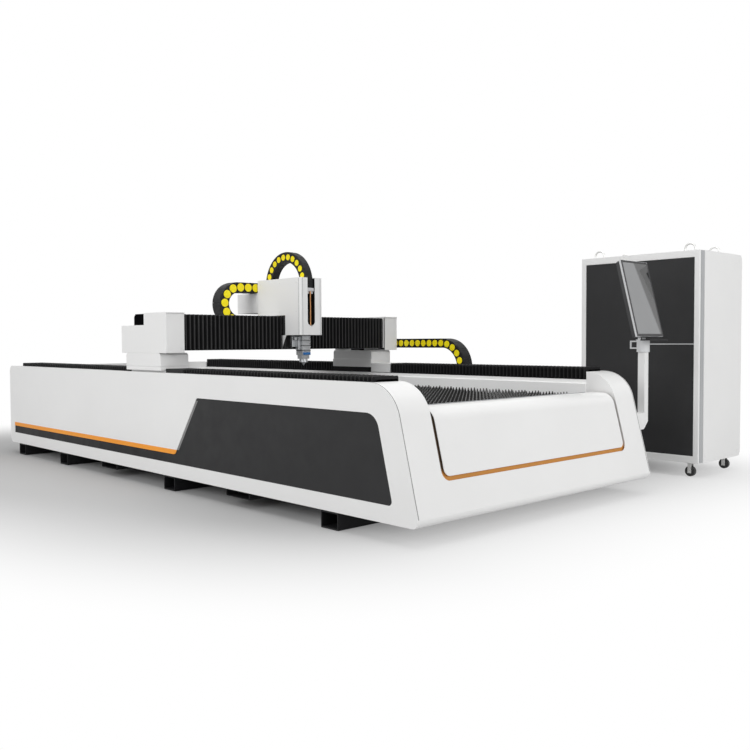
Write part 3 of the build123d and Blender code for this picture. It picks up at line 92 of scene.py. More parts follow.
print("loaded", len(nodes), "CAD nodes,", "size", [round(v, 3) for v in cad_high - cad_low])

# %% [markdown]
# ## The camera
# A product photograph has one viewpoint. It was found by matching straight edges of the
# machine to the picture. The camera could be aimed with a Track To constraint, but a
# matrix built from yaw, pitch and roll repeats the same view exactly on each run.

# %% Camera at the photographer's place
camera_place = Vector((5.717, -5.016, 1.062))
camera_yaw, camera_pitch, camera_roll = (math.radians(a) for a in (136.7755, -2.2749, -0.2798))
focal_pixels, photo_width = 849.61, 750
ahead = Vector((
    math.cos(camera_pitch) * math.cos(camera_yaw),
    math.cos(camera_pitch) * math.sin(camera_yaw),
    math.sin(camera_pitch),
))
level_right = Vector((math.sin(camera_yaw), -math.cos(camera_yaw), 0))
level_up = level_right.cross(ahead)
right = math.cos(camera_roll) * level_right + math.sin(camera_roll) * level_up
up = math.cos(camera_roll) * level_up - math.sin(camera_roll) * level_right
camera_data = bpy.data.cameras.new("photo_camera")
camera_data.sensor_width = 36
camera_data.lens = focal_pixels / photo_width * camera_data.sensor_width
camera_data.clip_end = 200
camera = bpy.data.objects.new("photo_camera", camera_data)
scene.collection.objects.link(camera)
turn = Matrix((right, up, -ahead)).transposed().to_4x4()
camera.matrix_world = Matrix.Translation(camera_place) @ turn
scene.camera = camera
print("camera looks along", [round(v, 3) for v in ahead])

# %% [markdown]
# ## Light of the room
# A studio picture of a white machine needs a background that is white without more light on
# the machine. An image of a room could light it, but two Background nodes are enough: one is
# white for the camera, for reflections and through glass, and a dimmer one lights matt surfaces.

# %% World
scene.view_settings.view_transform = "Standard"
white = (1, 1, 1, 1)
room_light = 0.42


def math_step(tree, operation, first, second):
    """Join two number sockets with one Math node."""
    step = tree.nodes.new("ShaderNodeMath")
    step.operation = operation
    tree.links.new(first, step.inputs[0])
    tree.links.new(second, step.inputs[1])
    return step.outputs[0]


def seen_directly(tree):
    """Node socket that is 1 for camera, mirror and see-through rays."""
    rays = tree.nodes.new("ShaderNodeLightPath").outputs
    mirrored = math_step(tree, "MAXIMUM", rays["Is Camera Ray"], rays["Is Glossy Ray"])
    return math_step(tree, "MAXIMUM", mirrored, rays["Is Transmission Ray"])


def show_two(tree, share, first, second, output_kind):
    """Blend two shaders by a share and make that the output of a node tree."""
    blend = tree.nodes.new("ShaderNodeMixShader")
    output = tree.nodes.new(output_kind)
    tree.links.new(share, blend.inputs[0])
    tree.links.new(first.outputs[0], blend.inputs[1])
    tree.links.new(second.outputs[0], blend.inputs[2])
    tree.links.new(blend.outputs[0], output.inputs[0])


world = bpy.data.worlds.new("studio")
scene.world = world
world.use_nodes = True
sky = world.node_tree
sky.nodes.clear()
backgrounds = []
for strength in (room_light, 1.0):
    background = sky.nodes.new("ShaderNodeBackground")
    background.inputs["Color"].default_value = white
    background.inputs["Strength"].default_value = strength
    backgrounds.append(background)
show_two(sky, seen_directly(sky), *backgrounds, "ShaderNodeOutputWorld")
print("room light", room_light)

# %% [markdown]
# ## Floor
# The floor is a wide disc that takes shadows near the machine and fades to the same white
# further out, so that no horizon line is left. A painted gradient would need an image. Here the
# shader measures how far a point lies outside a rectangle on the floor, adds a little towards
# both ends of the bed, and Map Range turns that distance into a share of white.

# %% Floor
floor_reach, floor_sides, floor_drop = 60, 96, 0.001
floor_grey = 0.58
fade_middle = (-1.0, -0.35, 0)
fade_half_sides = (2.0, cad_high.y + fade_middle[1], 0)
fade_stretch = (0.85, 1.5, 0)
endward_slope = (0.347, 0, 0)
fade_start, fade_stop = 1.28, 4.08
floor_mesh = bpy.data.meshes.new("studio_floor")
floor_turns = [2 * math.pi * k / floor_sides for k in range(floor_sides)]
floor_rim = [(floor_reach * math.cos(a), floor_reach * math.sin(a), -floor_drop) for a in floor_turns]
floor_mesh.from_pydata(floor_rim, [], [tuple(range(floor_sides))])
floor = bpy.data.objects.new("studio_floor", floor_mesh)
scene.collection.objects.link(floor)
floor_paint = bpy.data.materials.new("floor_paint")
floor_paint.use_nodes = True
floor_tree = floor_paint.node_tree
floor_tree.nodes.clear()


def vector_step(operation, vector, settled=(0, 0, 0)):
    """Outputs of one Vector Math node that takes a vector socket and a settled second vector."""
    step = floor_tree.nodes.new("ShaderNodeVectorMath")
    step.operation = operation
    floor_tree.links.new(vector, step.inputs[0])
    step.inputs[1].default_value = settled
    return step.outputs


position = floor_tree.nodes.new("ShaderNodeNewGeometry").outputs["Position"]
from_middle = vector_step("SUBTRACT", position, fade_middle)[0]
either_way = vector_step("ABSOLUTE", from_middle)[0]
past_side = vector_step("SUBTRACT", either_way, fade_half_sides)[0]
outside = vector_step("MAXIMUM", past_side)[0]
distance = vector_step("LENGTH", vector_step("MULTIPLY", outside, fade_stretch)[0])["Value"]
endward = vector_step("DOT_PRODUCT", either_way, endward_slope)["Value"]
fade = floor_tree.nodes.new("ShaderNodeMapRange")
fade.interpolation_type = "SMOOTHSTEP"
fade.inputs["From Min"].default_value = fade_start
fade.inputs["From Max"].default_value = fade_stop
floor_tree.links.new(math_step(floor_tree, "ADD", distance, endward), fade.inputs["Value"])
far_and_seen = math_step(floor_tree, "MULTIPLY", fade.outputs["Result"], seen_directly(floor_tree))
matt = floor_tree.nodes.new("ShaderNodeBsdfDiffuse")
matt.inputs["Color"].default_value = (floor_grey, floor_grey, floor_grey, 1)
glow = floor_tree.nodes.new("ShaderNodeEmission")
glow.inputs["Color"].default_value = white
show_two(floor_tree, far_and_seen, matt, glow, "ShaderNodeOutputMaterial")
floor_mesh.materials.append(floor_paint)
print("floor radius", floor_reach)

# %% [markdown]
# ## Lamps
# Large area lamps give the broad, soft reflections of a studio. One hangs over the machine,
# one stands before the side with the dark inset and one before the operator's end. Each has
# its own strength, so that the faces of the white covers read apart.

# %% Three soft lamps
def soft_lamp(name, place, aim, size, power):
    """Add one square area lamp that points at a place."""
    lamp_data = bpy.data.lights.new(name, "AREA")
    lamp_data.size = size
    lamp_data.energy = power
    lamp = bpy.data.objects.new(name, lamp_data)
    lamp.location = place
    lamp.rotation_euler = (Vector(aim) - Vector(place)).to_track_quat("-Z", "Y").to_euler()
    scene.collection.objects.link(lamp)
    return lamp


machine_middle = (0, -0.6, 0.7)
lamps = [
    soft_lamp("lamp_over", (0.6, -0.6, 6.5), machine_middle, 7.0, 218),
    soft_lamp("lamp_side", (1.8, -11.0, 4.2), machine_middle, 6.0, 398),
    soft_lamp("lamp_end", (9.5, 0.2, 3.0), machine_middle, 5.0, 226),
]
print("lamps", [lamp.name for lamp in lamps])

# %% [markdown]
# ## Finishes
# No real surface is one flat colour. Powder coat has a faint orange-peel skin, rolled steel
# has streaks, cloth has a weave. One function builds a small node network: a wide noise
# shifts the colour a little, a middle one shifts the gloss, and a fine one feeds a Bump
# node. Image textures would need unwrapped meshes, and noise in object space does not.

# %% One recipe for all solid finishes
finishes = {}
noise_low, noise_high = 0.3, 0.7
wide_detail, middle_detail, fine_detail = 4, 3, 2
bump_strength = 0.35


def noise_at(tree, scale, detail, stretch):
    """Noise texture in object space, stretched along one axis when asked."""
    coords = tree.nodes.new("ShaderNodeTexCoord")
    mapping = tree.nodes.new("ShaderNodeMapping")
    mapping.inputs["Scale"].default_value = stretch
    noise = tree.nodes.new("ShaderNodeTexNoise")
    noise.inputs["Scale"].default_value = scale
    noise.inputs["Detail"].default_value = detail
    tree.links.new(coords.outputs["Object"], mapping.inputs["Vector"])
    tree.links.new(mapping.outputs["Vector"], noise.inputs["Vector"])
    return noise.outputs["Fac"]


def spread(tree, value, low, high):
    """Stretch the middle of a noise over a wanted range."""
    ranged = tree.nodes.new("ShaderNodeMapRange")
    ranged.inputs["From Min"].default_value = noise_low
    ranged.inputs["From Max"].default_value = noise_high
    ranged.inputs["To Min"].default_value = low
    ranged.inputs["To Max"].default_value = high
    tree.links.new(value, ranged.inputs["Value"])
    return ranged.outputs["Result"]


def make_finish(
    slot, dark, light, gloss_range, metal=0.0, wide=1.5, middle=9.0, fine=420.0,
    skin=0.0004, stretch=(1, 1, 1), coat=0.0, sheen=0.0, shine=0.5,
):
    """Node material for one slot: two near colours, a range of roughness and a fine skin."""
    material = bpy.data.materials.new(slot)
    material.use_nodes = True
    tree = material.node_tree
    shader = tree.nodes["Principled BSDF"]
    shader.inputs["Metallic"].default_value = metal
    shader.inputs["Coat Weight"].default_value = coat
    shader.inputs["Sheen Weight"].default_value = sheen
    shader.inputs["Specular IOR Level"].default_value = shine
    shade = tree.nodes.new("ShaderNodeMix")
    shade.data_type = "RGBA"
    shade.inputs[6].default_value = (*dark, 1)
    shade.inputs[7].default_value = (*light, 1)
    mottle = spread(tree, noise_at(tree, wide, wide_detail, stretch), 0, 1)
    tree.links.new(mottle, shade.inputs[0])
    tree.links.new(shade.outputs[2], shader.inputs["Base Color"])
    rough = spread(tree, noise_at(tree, middle, middle_detail, stretch), *gloss_range)
    tree.links.new(rough, shader.inputs["Roughness"])
    bump = tree.nodes.new("ShaderNodeBump")
    bump.inputs["Strength"].default_value = bump_strength
    bump.inputs["Distance"].default_value = skin
    tree.links.new(noise_at(tree, fine, fine_detail, stretch), bump.inputs["Height"])
    tree.links.new(bump.outputs["Normal"], shader.inputs["Normal"])
    finishes[slot] = material


print("finish recipe ready, skin strength", bump_strength)

# %% [markdown]
# Paint comes first. The covers are powder coated in white, orange and near black, and a few inner
# parts in grey. Each paint has two close colours, and the wide noise drifts between them. White
# gets a thin clear coat for its soft highlights. Dark and orange paints get less specular light
# than the usual half, or the bright room would wash them out.

# %% Paints
make_finish("white_paint", (0.84, 0.84, 0.835), (0.87, 0.87, 0.865), (0.30, 0.40), coat=0.15)
make_finish("dark_paint", (0.023, 0.023, 0.024), (0.029, 0.029, 0.030), (0.5, 0.62), shine=0.22)
make_finish("orange_paint", (0.92, 0.32, 0.018), (0.97, 0.36, 0.026), (0.40, 0.50), shine=0.3)
make_finish("groove_orange", (0.62, 0.27, 0.055), (0.70, 0.31, 0.07), (0.45, 0.55), shine=0.25)
# A lighter copy of the white paint, for faces that get less light, paints light on the inner walls and the
# carriage cover.
make_finish("white_painted_light", (0.90, 0.90, 0.895), (0.93, 0.93, 0.925), (0.34, 0.44))
make_finish(
    "black_paint", (0.007, 0.007, 0.008), (0.013, 0.013, 0.014), (0.5, 0.66), skin=0.0008, shine=0.22,
)
make_finish("frame_grey", (0.40, 0.41, 0.42), (0.46, 0.47, 0.48), (0.42, 0.55))
make_finish("collar_grey", (0.60, 0.61, 0.62), (0.68, 0.69, 0.70), (0.36, 0.48))
make_finish("module_grey", (0.27, 0.28, 0.29), (0.32, 0.33, 0.34), (0.4, 0.55))
print("painted finishes", sorted(finishes))

# %% [markdown]
# Bare metals differ from paint in two ways. Their Metallic value is 1, or less where soot or a
# dull coat covers them, and the marks of ground or rolled steel run along one direction.
# Stretching the noise space along that direction makes these streaks. Each row gives two colours,
# the roughness, Metallic, the sizes of the three noises, the depth of the skin and the stretch.

# %% Metals
ground, rolled = (0.05, 1, 1), (1, 0.25, 1)
metals = {
    "rail_steel": ((0.50, 0.50, 0.51), (0.62, 0.62, 0.63), (0.22, 0.34), 1.0, 6, 60, 700, 0.0002, ground),
    "plate_steel": ((0.45, 0.45, 0.46), (0.56, 0.56, 0.57), (0.30, 0.45), 1.0, 5, 40, 600, 0.0003),
    "slat_steel": ((0.01, 0.01, 0.01), (0.026, 0.025, 0.024), (0.5, 0.7), 0.3, 7, 30, 260, 0.0012, rolled),
    "tray_zinc": ((0.42, 0.43, 0.44), (0.56, 0.57, 0.58), (0.30, 0.5), 0.9, 30, 55, 300, 0.0003),
    "screw_bronze": ((0.42, 0.22, 0.07), (0.60, 0.34, 0.12), (0.25, 0.4), 0.9, 30, 60, 900, 0.0002),
    "head_aluminium": ((0.40, 0.41, 0.42), (0.54, 0.55, 0.56), (0.28, 0.40), 1.0, 12, 60, 1500, 0.0002),
    "eye_zinc": ((0.56, 0.56, 0.55), (0.68, 0.68, 0.67), (0.24, 0.38), 1.0, 25, 70, 900, 0.0002),
}
for metal_slot, recipe in metals.items():
    make_finish(metal_slot, *recipe)
print("metal finishes", list(metals))

# %% [markdown]
# Plastics, rubber and coated cloth are not metallic. The cloth of a folded cover has a little
# sheen and a skin of fine threads. The screen is glass: a low roughness and a strong coat let it
# mirror the bright room, and its light grey colour is a painted reflection on top of that. The
# blue front of the lens drawer is coloured metal.

# %% Plastics, rubber, cloth and glass
make_finish(
    "bellows_cloth", (0.006, 0.006, 0.0065), (0.010, 0.010, 0.0105), (0.5, 0.66),
    wide=6, fine=1400, skin=0.0006, sheen=0.01, shine=0.1,
)
make_finish(
    "chain_black", (0.008, 0.008, 0.0085), (0.014, 0.014, 0.0145), (0.45, 0.58),
    wide=10, middle=40, fine=1200, skin=0.0003, shine=0.2,
)
make_finish(
    "disc_yellow", (0.97, 0.78, 0.003), (1.0, 0.86, 0.008), (0.40, 0.5),
    wide=10, middle=40, fine=900, skin=0.0003, shine=0.3,
)
make_finish(
    "motor_black", (0.003, 0.003, 0.0035), (0.006, 0.006, 0.0065), (0.6, 0.72),
    wide=8, middle=30, fine=900, skin=0.0005, shine=0.0,
)
make_finish(
    "lens_blue", (0.03, 0.16, 0.45), (0.05, 0.22, 0.55), (0.2, 0.32),
    metal=0.5, wide=20, middle=60, fine=900, skin=0.0002,
)
make_finish(
    "screen_shell", (0.020, 0.020, 0.022), (0.032, 0.032, 0.034), (0.38, 0.5),
    wide=8, middle=30, fine=1100, skin=0.0003,
)
make_finish(
    "screen_glass", (0.20, 0.205, 0.21), (0.24, 0.245, 0.25), (0.05, 0.09),
    wide=1.2, middle=4, fine=60, skin=0.00001, coat=0.6,
)
make_finish(
    "wheel_rubber", (0.018, 0.018, 0.018), (0.030, 0.030, 0.030), (0.55, 0.7),
    wide=12, middle=40, fine=900, skin=0.0005,
)
print("all finishes", len(finishes))

# %% [markdown]
# Three surfaces get a second colour that paints light or shade. The orange sheet behind the end
# panel turns dark in the narrow side gaps, which is painted shade. The recessed strip under the
# orange stripe is darker than the large inset, which is painted shade under the stripe's ledge.
# The switched-off screen has a light grey part, which is a painted reflection, and a darker part.
# Generated coordinates run from 0 to 1 over a piece's own box, so a dot product with a direction
# tells how far along the piece a point lies, and Map Range turns that into a blend of two colours.

# %% Colours that change along a piece
def fade_colour(slot, direction, start, stop, colour):
    """Blend one finish into a second colour along a direction over its piece."""
    tree = finishes[slot].node_tree
    base = tree.nodes["Principled BSDF"].inputs["Base Color"]
    first_colour = base.links[0].from_socket
    coords = tree.nodes.new("ShaderNodeTexCoord")
    along = tree.nodes.new("ShaderNodeVectorMath")
    along.operation = "DOT_PRODUCT"
    along.inputs[1].default_value = direction
    share = tree.nodes.new("ShaderNodeMapRange")
    share.interpolation_type = "SMOOTHSTEP"
    share.inputs["From Min"].default_value = start
    share.inputs["From Max"].default_value = stop
    two = tree.nodes.new("ShaderNodeMix")
    two.data_type = "RGBA"
    two.inputs[7].default_value = (*colour, 1)
    tree.links.new(coords.outputs["Generated"], along.inputs[0])
    tree.links.new(along.outputs["Value"], share.inputs["Value"])
    tree.links.new(share.outputs["Result"], two.inputs[0])
    tree.links.new(first_colour, two.inputs[6])
    tree.links.new(two.outputs[2], base)


make_finish("inset_dark", (0.012, 0.012, 0.0125), (0.015, 0.015, 0.0155), (0.5, 0.62), shine=0.2)
# Painted shade: the panel is darker towards its low end, the recessed strip under the stripe's ledge.
fade_colour("inset_dark", (1, 0, 0), 0.50, 0.64, (0.025, 0.025, 0.026))
# Painted shade: the orange backing turns dark brown higher up, in the narrow side gaps.
fade_colour("groove_orange", (0, 0, 1), 0.14, 0.24, (0.13, 0.085, 0.055))
# Painted reflection: the glass is light grey except towards one upper corner, where it is dark.
fade_colour("screen_glass", (0, 1, 0.5), 0.90, 1.0, (0.028, 0.029, 0.030))
print("two-colour finishes: inset_dark, groove_orange, screen_glass")

# %% [markdown]
# ## Finishes on the CAD nodes
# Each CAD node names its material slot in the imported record, so the finish is looked up there.
# Sheet metal never has a knife edge. A Weld and a Bevel modifier round the edges by a few
# millimetres without touching the CAD mesh, and Weighted Normal keeps the flat faces flat.

# %% Paint and soften the CAD nodes
edge_round, fine_round = 0.003, 0.0012
weld_gap, bevel_steps, sharp_angle = 0.00005, 2, math.radians(40)
fine_nodes = {
    "lens_drawer", "head_body", "nozzle", "head_plate", "screen_glass", "screen_housing",
    "side_stripe", "z_rails", "y_rails",
}
for caster in range(1, 5):
    fine_nodes.update((f"caster_fork_{caster}", f"caster_wheel_{caster}"))
sharp_nodes = {"ball_screw", "cabinet_modules"}
# The inner walls and the carriage cover take the lighter copy of white, which is painted light.
repainted = {
    "panel_post": "white_paint", "saddles": "white_paint", "inner_walls": "white_painted_light",
    "end_backing": "groove_orange", "carriage_plate": "dark_paint", "side_inset_panel": "inset_dark",
    "carriage_cover": "white_painted_light",
}


def soften(piece, width):
    """Round the edges of a solid without changing its mesh."""
    weld = piece.modifiers.new("join", "WELD")
    weld.merge_threshold = weld_gap
    bevel = piece.modifiers.new("round", "BEVEL")
    bevel.width = width
    bevel.segments = bevel_steps
    bevel.limit_method = "ANGLE"
    bevel.angle_limit = sharp_angle
    bevel.use_clamp_overlap = True
    piece.modifiers.new("shade", "WEIGHTED_NORMAL")


for part in frame["record"]["subparts"]:
    node = nodes[part["node"]]
    node.data.materials.clear()
    node.data.materials.append(finishes[repainted.get(part["node"], part["material_slot"])])
    if part["node"] not in sharp_nodes:
        soften(node, fine_round if part["node"] in fine_nodes else edge_round)

# %% [markdown]
# ## A helper for new pieces
# Each new piece is a mesh of points and faces, with one finish, riding on one CAD body when one
# is given. The points are in the frame's own metres, so the piece needs no placing afterwards.
# Small parts are often just a few boxes or turned pins, so two helpers write those meshes.

# %% Mesh helpers
def add_piece(name, points, faces, slot, body=None, finish=None, smooth=False):
    """Link one mesh piece, give it its finish and let it ride on a body."""
    mesh = bpy.data.meshes.new(name)
    mesh.from_pydata([tuple(p) for p in points], [], faces)
    mesh.materials.append(finishes[finish or slot])
    if smooth:
        mesh.polygons.foreach_set("use_smooth", [True] * len(mesh.polygons))
    mesh.update()
    piece = bpy.data.objects.new(name, mesh)
    scene.collection.objects.link(piece)
    if body:
        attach(piece, body)
    return piece


def share_travel(piece):
    """Bake the piece's placement into its mesh."""
    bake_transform(piece)


def prism_faces(first, count):
    """Faces of a closed prism of two equal rings of points."""
    sides = [
        (first + k, first + (k + 1) % count, first + count + (k + 1) % count, first + count + k)
        for k in range(count)
    ]
    caps = [
        tuple(first + k for k in reversed(range(count))),
        tuple(first + count + k for k in range(count)),
    ]
    return sides + caps


def add_boxes(name, boxes, slot, body, finish=None, edge=0.0, place=Vector):
    """One piece made of boxes, each given by two corners; place maps a corner into the frame."""
    points, faces = [], []
    for low, high in boxes:
        first = len(points)
        for z in (low[2], high[2]):
            for x, y in ((low[0], low[1]), (high[0], low[1]), (high[0], high[1]), (low[0], high[1])):
                points.append(place((x, y, z)))
        faces.extend(prism_faces(first, 4))
    piece = add_piece(name, points, faces, slot, body, finish)
    if edge:
        soften(piece, edge)
    return piece


def add_pins(name, pins, slot, body, finish=None, sides=16, edge=0.0):
    """One piece made of round pins, each given by a start, an end and a radius."""
    points, faces = [], []
    for start, end, radius in pins:
        start, end = Vector(start), Vector(end)
        across = (end - start).orthogonal().normalized()
        along = (end - start).normalized().cross(across)
        first = len(points)
        for middle in (start, end):
            for k in range(sides):
                a = 2 * math.pi * k / sides
                points.append(middle + radius * (math.cos(a) * across + math.sin(a) * along))
        faces.extend(prism_faces(first, sides))
    piece = add_piece(name, points, faces, slot, body, finish)
    if edge:
        soften(piece, edge)
    return piece


print("helpers ready")

# %% [markdown]
# ## Folded covers along the bed
# Black bellows keep sparks off the rails on both walls. On the real machine they are coated
# cloth, folded like an accordion over thin frames. A paler strip along the ridge of each fold
# paints the highlight that the ridges catch. A wave texture could suggest the folds, but they show
# in the outline, so each one is modelled: two wide rings bound the flat ridge and two narrow rings
# the valley, joined by quads. The maker also works out an even share of the gantry's travel for
# each point, but nothing applies these shares.

# %% Bellows maker
ridge_flat_share, valley_flat_share = 0.24, 0.16
highlight_proud = 0.0006


def folded_cover(name, ridge, valley, along, start, stop, count, replaced, still, moving, edge_finish):
    """An accordion from its section at a ridge and at a valley, repeated along one axis."""
    size = len(ridge)

    def ring(section, way, proud=0.0):
        middle = [sum(p[k] for p in section) / size for k in (0, 1)]
        places = []
        for point in section:
            place = [p + proud * (1 if p > m else -1) for p, m in zip(point, middle)]
            place.insert(along, start + way * (stop - start))
            places.append(tuple(place))
        return places

    cloth, cloth_shares, highlight_strips, highlight_shares = [], [], [], []
    for fold in range(count):
        for share, section in (
            (valley_flat_share / 2, valley),
            (0.5 - ridge_flat_share / 2, ridge),
            (0.5 + ridge_flat_share / 2, ridge),
            (1 - valley_flat_share / 2, valley),
        ):
            way = (fold + share) / count
            cloth.extend(ring(section, way))
            cloth_shares.extend([way] * size)
        for share in (0.5 - ridge_flat_share / 2, 0.5 + ridge_flat_share / 2):
            way = (fold + share) / count
            highlight_strips.extend(ring(ridge, way, highlight_proud))
            highlight_shares.extend([way] * size)
    cloth = ring(valley, 0.0) + cloth + ring(valley, 1.0)
    cloth_shares = [0.0] * size + cloth_shares + [1.0] * size
    cloth_faces, highlight_faces = [], []
    for band in range(len(cloth) // size - 1):
        for k in range(size - 1):
            a = band * size + k
            cloth_faces.append((a, a + 1, a + size + 1, a + size))
            if band < count:
                b = 2 * band * size + k
                highlight_faces.append((b, b + 1, b + size + 1, b + size))
    cover = add_piece(name, cloth, cloth_faces, "bellows_cloth")
    # The edge strips are painted highlights on the ridges of the folds.
    edges = add_piece(name + "_edges", highlight_strips, highlight_faces, "bellows_cloth", finish=edge_finish)
    share_travel(cover)
    share_travel(edges)
    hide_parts(replaced)


# The paler edge colours paint the highlights on the fold ridges.
for edge_slot, edge_dark, edge_light, edge_shine in (
    ("fold_edge", (0.026, 0.026, 0.027), (0.037, 0.037, 0.038), 0.25),
    ("wall_fold_edge", (0.007, 0.007, 0.0075), (0.013, 0.013, 0.0135), 0.22),
):
    make_finish(
        edge_slot, edge_dark, edge_light, (0.5, 0.64), wide=6, fine=1400, skin=0.0003, shine=edge_shine,
    )
print("fold edges take", ridge_flat_share, "of each fold")

# %% [markdown]
# In front of each foot of the gantry a short plain box takes the end of the bellows. It rides
# on the gantry, and the front length of folds ends at its face. A thin black strip, the wiper
# of the far foot, closes the gap under that foot on the side of the slats.

# %% Bed bellows and their end boxes
bellows_low, bellows_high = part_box("bed_bellows")
saddle_low, saddle_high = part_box("foot_covers")
bed_folds, fold_depth, corner = 58, 0.016, 0.006
bellows_width = 0.196
bellows_foot = bellows_low.z + 0.002
end_box_length, end_box_foot_gap, end_box_top_gap = 0.24, 0.004, 0.001
wiper_thickness = 0.0006
box_stop = saddle_high.x + end_box_length
for wall, outer_y, inward, box_slot in (
    ("near", bellows_low.y, 1, "black_paint"),
    ("far", bellows_high.y, -1, "white_paint"),
):
    inner_y = outer_y + inward * bellows_width
    sections = []
    for sunk in (0, fold_depth):
        top = bellows_high.z - sunk
        outer, inner = outer_y + inward * sunk, inner_y - inward * sunk
        sections.append([
            (outer, bellows_foot),
            (outer, top - corner),
            (outer + inward * corner, top),
            (inner - inward * corner, top),
            (inner, top - corner),
            (inner, bellows_foot),
        ])
    box_corners = (
        (saddle_high.x, min(outer_y, inner_y), bellows_low.z + end_box_foot_gap),
        (box_stop, max(outer_y, inner_y), bellows_high.z - end_box_top_gap),
    )
    add_boxes(f"bellows_end_box_{wall}", [box_corners], box_slot, "gantry", edge=0.004)
    for length, start, stop in (
        ("rear", bellows_low.x, saddle_low.x),
        ("front", bellows_high.x, box_stop),
    ):
        folded_cover(
            f"bed_bellows_{wall}_{length}", *sections, 0, start, stop, bed_folds,
            "bed_bellows", "bed", "gantry", "wall_fold_edge",
        )
wiper_y = bellows_high.y - bellows_width
wiper_corners = (
    (saddle_low.x, wiper_y - wiper_thickness, bellows_foot),
    (saddle_high.x, wiper_y, saddle_low.z),
)
add_boxes("saddle_wiper", [wiper_corners], "bellows_cloth", "gantry")
print("bed bellows from", round(bellows_low.x, 3), "to", round(bellows_high.x, 3))

# %% [markdown]
# ## Folded covers on the bridge
# The same accordion closes the front of the bridge on both sides of the carriage. Its section
# is a C that wraps the front, top and bottom of the beam. A thin bright frame holds the far end.

# %% Beam bellows
front_low, front_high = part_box("beam_bellows")
carriage_low, carriage_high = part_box("carriage_plate")
beam_folds, beam_fold_depth, beam_fold_dip = 25, 0.017, 0.004
back_x = front_low.x + 0.004
frame_y = front_high.y - 0.008
sections = []
for sunk, dip in ((0, 0), (beam_fold_depth, beam_fold_dip)):
    front_x = front_high.x - sunk
    sections.append([
        (back_x, front_high.z - dip),
        (front_x - corner, front_high.z - dip),
        (front_x, front_high.z - dip - corner),
        (front_x, front_low.z + dip + corner),
        (front_x - corner, front_low.z + dip),
        (back_x, front_low.z + dip),
    ])
for side, start, stop in (("near", front_low.y, carriage_low.y), ("far", frame_y, carriage_high.y)):
    folded_cover(
        f"beam_bellows_{side}", *sections, 1, start, stop, beam_folds,
        "beam_bellows", "gantry", "carriage", "fold_edge",
    )
frame_corners = ((back_x, frame_y, front_low.z), (front_high.x, front_high.y, front_high.z))
add_boxes("bellows_end_frame", [frame_corners], "white_paint", "gantry", edge=0.0015)
print("beam bellows folds", beam_folds)

# %% [markdown]
# ## Cable chains
# Cables reach the moving parts through chains of hollow nylon links, and a yellow cap covers
# each pivot. The chain follows one path: straight, half a turn, straight back. Each link is a
# short band bent to that path, with a low bar across its outer and inner face. As the bridge
# moves, the bend of a real chain rolls along at half the travel. The maker works out each point's
# share of the travel, 0.5 in the bend and an even slope along the two strands, but nothing
# applies these shares.

# %% Chain maker
def chain_point(way, upper, radius, lower):
    """Place, outward direction and share of the travel at one way along a chain."""
    turn = (way - upper) / radius
    if turn <= 0:
        return (way - upper, radius), (0, 1), 1 - 0.5 * way / upper
    if turn <= math.pi:
        out = (math.sin(turn), math.cos(turn))
        return (radius * out[0], radius * out[1]), out, 0.5
    rest = way - upper - math.pi * radius
    return (-rest, -radius), (0, -1), 0.5 - 0.5 * rest / lower


link_gap, link_cuts = 0.0015, 5
bar_height, bar_share, bar_margin_share = 0.0015, 0.5, 0.08
cap_sides, cap_root = 24, 0.001
cap_step_share, cap_top_share = 0.8, 0.88


def build_chain(name, path, pitch, height, width, to_world, cap_radius, cap_height):
    """Links and caps of one chain; to_world places (along, across, up) in the frame."""
    upper, radius, lower = path
    length = upper + math.pi * radius + lower
    count = round(length / pitch)
    step = length / count
    link_points, link_faces, link_shares = [], [], []
    cap_points, cap_faces, cap_shares = [], [], []

    def add_band(way_from, way_to, low, high, near, far):
        """A closed band along the path between two heights and two sides."""
        first = len(link_points)
        for cut in range(link_cuts + 1):
            way = way_from + (way_to - way_from) * cut / link_cuts
            (u, w), (out_u, out_w), share = chain_point(way, upper, radius, lower)
            for across, rise in ((near, low), (far, low), (far, high), (near, high)):
                link_points.append(to_world(u + rise * out_u, across, w + rise * out_w))
                link_shares.append(share)
        for cut in range(link_cuts):
            for k in range(4):
                a, b = first + 4 * cut + k, first + 4 * cut + (k + 1) % 4
                link_faces.append((a, b, b + 4, a + 4))
        link_faces.append(tuple(first + k for k in (3, 2, 1, 0)))
        link_faces.append(tuple(first + 4 * link_cuts + k for k in range(4)))

    half = height / 2
    for link in range(count):
        way_from, way_to = link * step + link_gap / 2, (link + 1) * step - link_gap / 2
        add_band(way_from, way_to, bar_height - half, half - bar_height, 0, width)
        bar_from = link * step + step * (1 - bar_share) / 2
        bar_to = bar_from + step * bar_share
        for low, high in ((half - bar_height, half), (-half, bar_height - half)):
            add_band(bar_from, bar_to, low, high, width * bar_margin_share, width * (1 - bar_margin_share))
    cap_step = -cap_step_share * cap_height
    cap_rounds = ((cap_radius, cap_step, cap_root), (cap_top_share * cap_radius, -cap_height, cap_step))
    for pivot in range(1, count):
        (u, w), _, share = chain_point(pivot * step, upper, radius, lower)
        for size, near, far in cap_rounds:
            first = len(cap_points)
            for across in (near, far):
                for k in range(cap_sides):
                    a = 2 * math.pi * k / cap_sides
                    cap_points.append(to_world(u + size * math.cos(a), across, w + size * math.sin(a)))
                    cap_shares.append(share)
            cap_faces.extend(prism_faces(first, cap_sides))
    links = add_piece(name + "_links", link_points, link_faces, "chain_black")
    caps = add_piece(name + "_caps", cap_points, cap_faces, "disc_yellow")
    share_travel(links)
    share_travel(caps)
    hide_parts(name)
    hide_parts(name + "_discs")
    print(name, count, "links")


# %% [markdown]
# The longest chain lies beside the far wall of the bed and feeds the gantry. Its upper end moves
# with the gantry, and its lower end stays in the trough. A function turns the chain's own
# directions (along, across, up) into the frame, so the same maker serves all three chains.

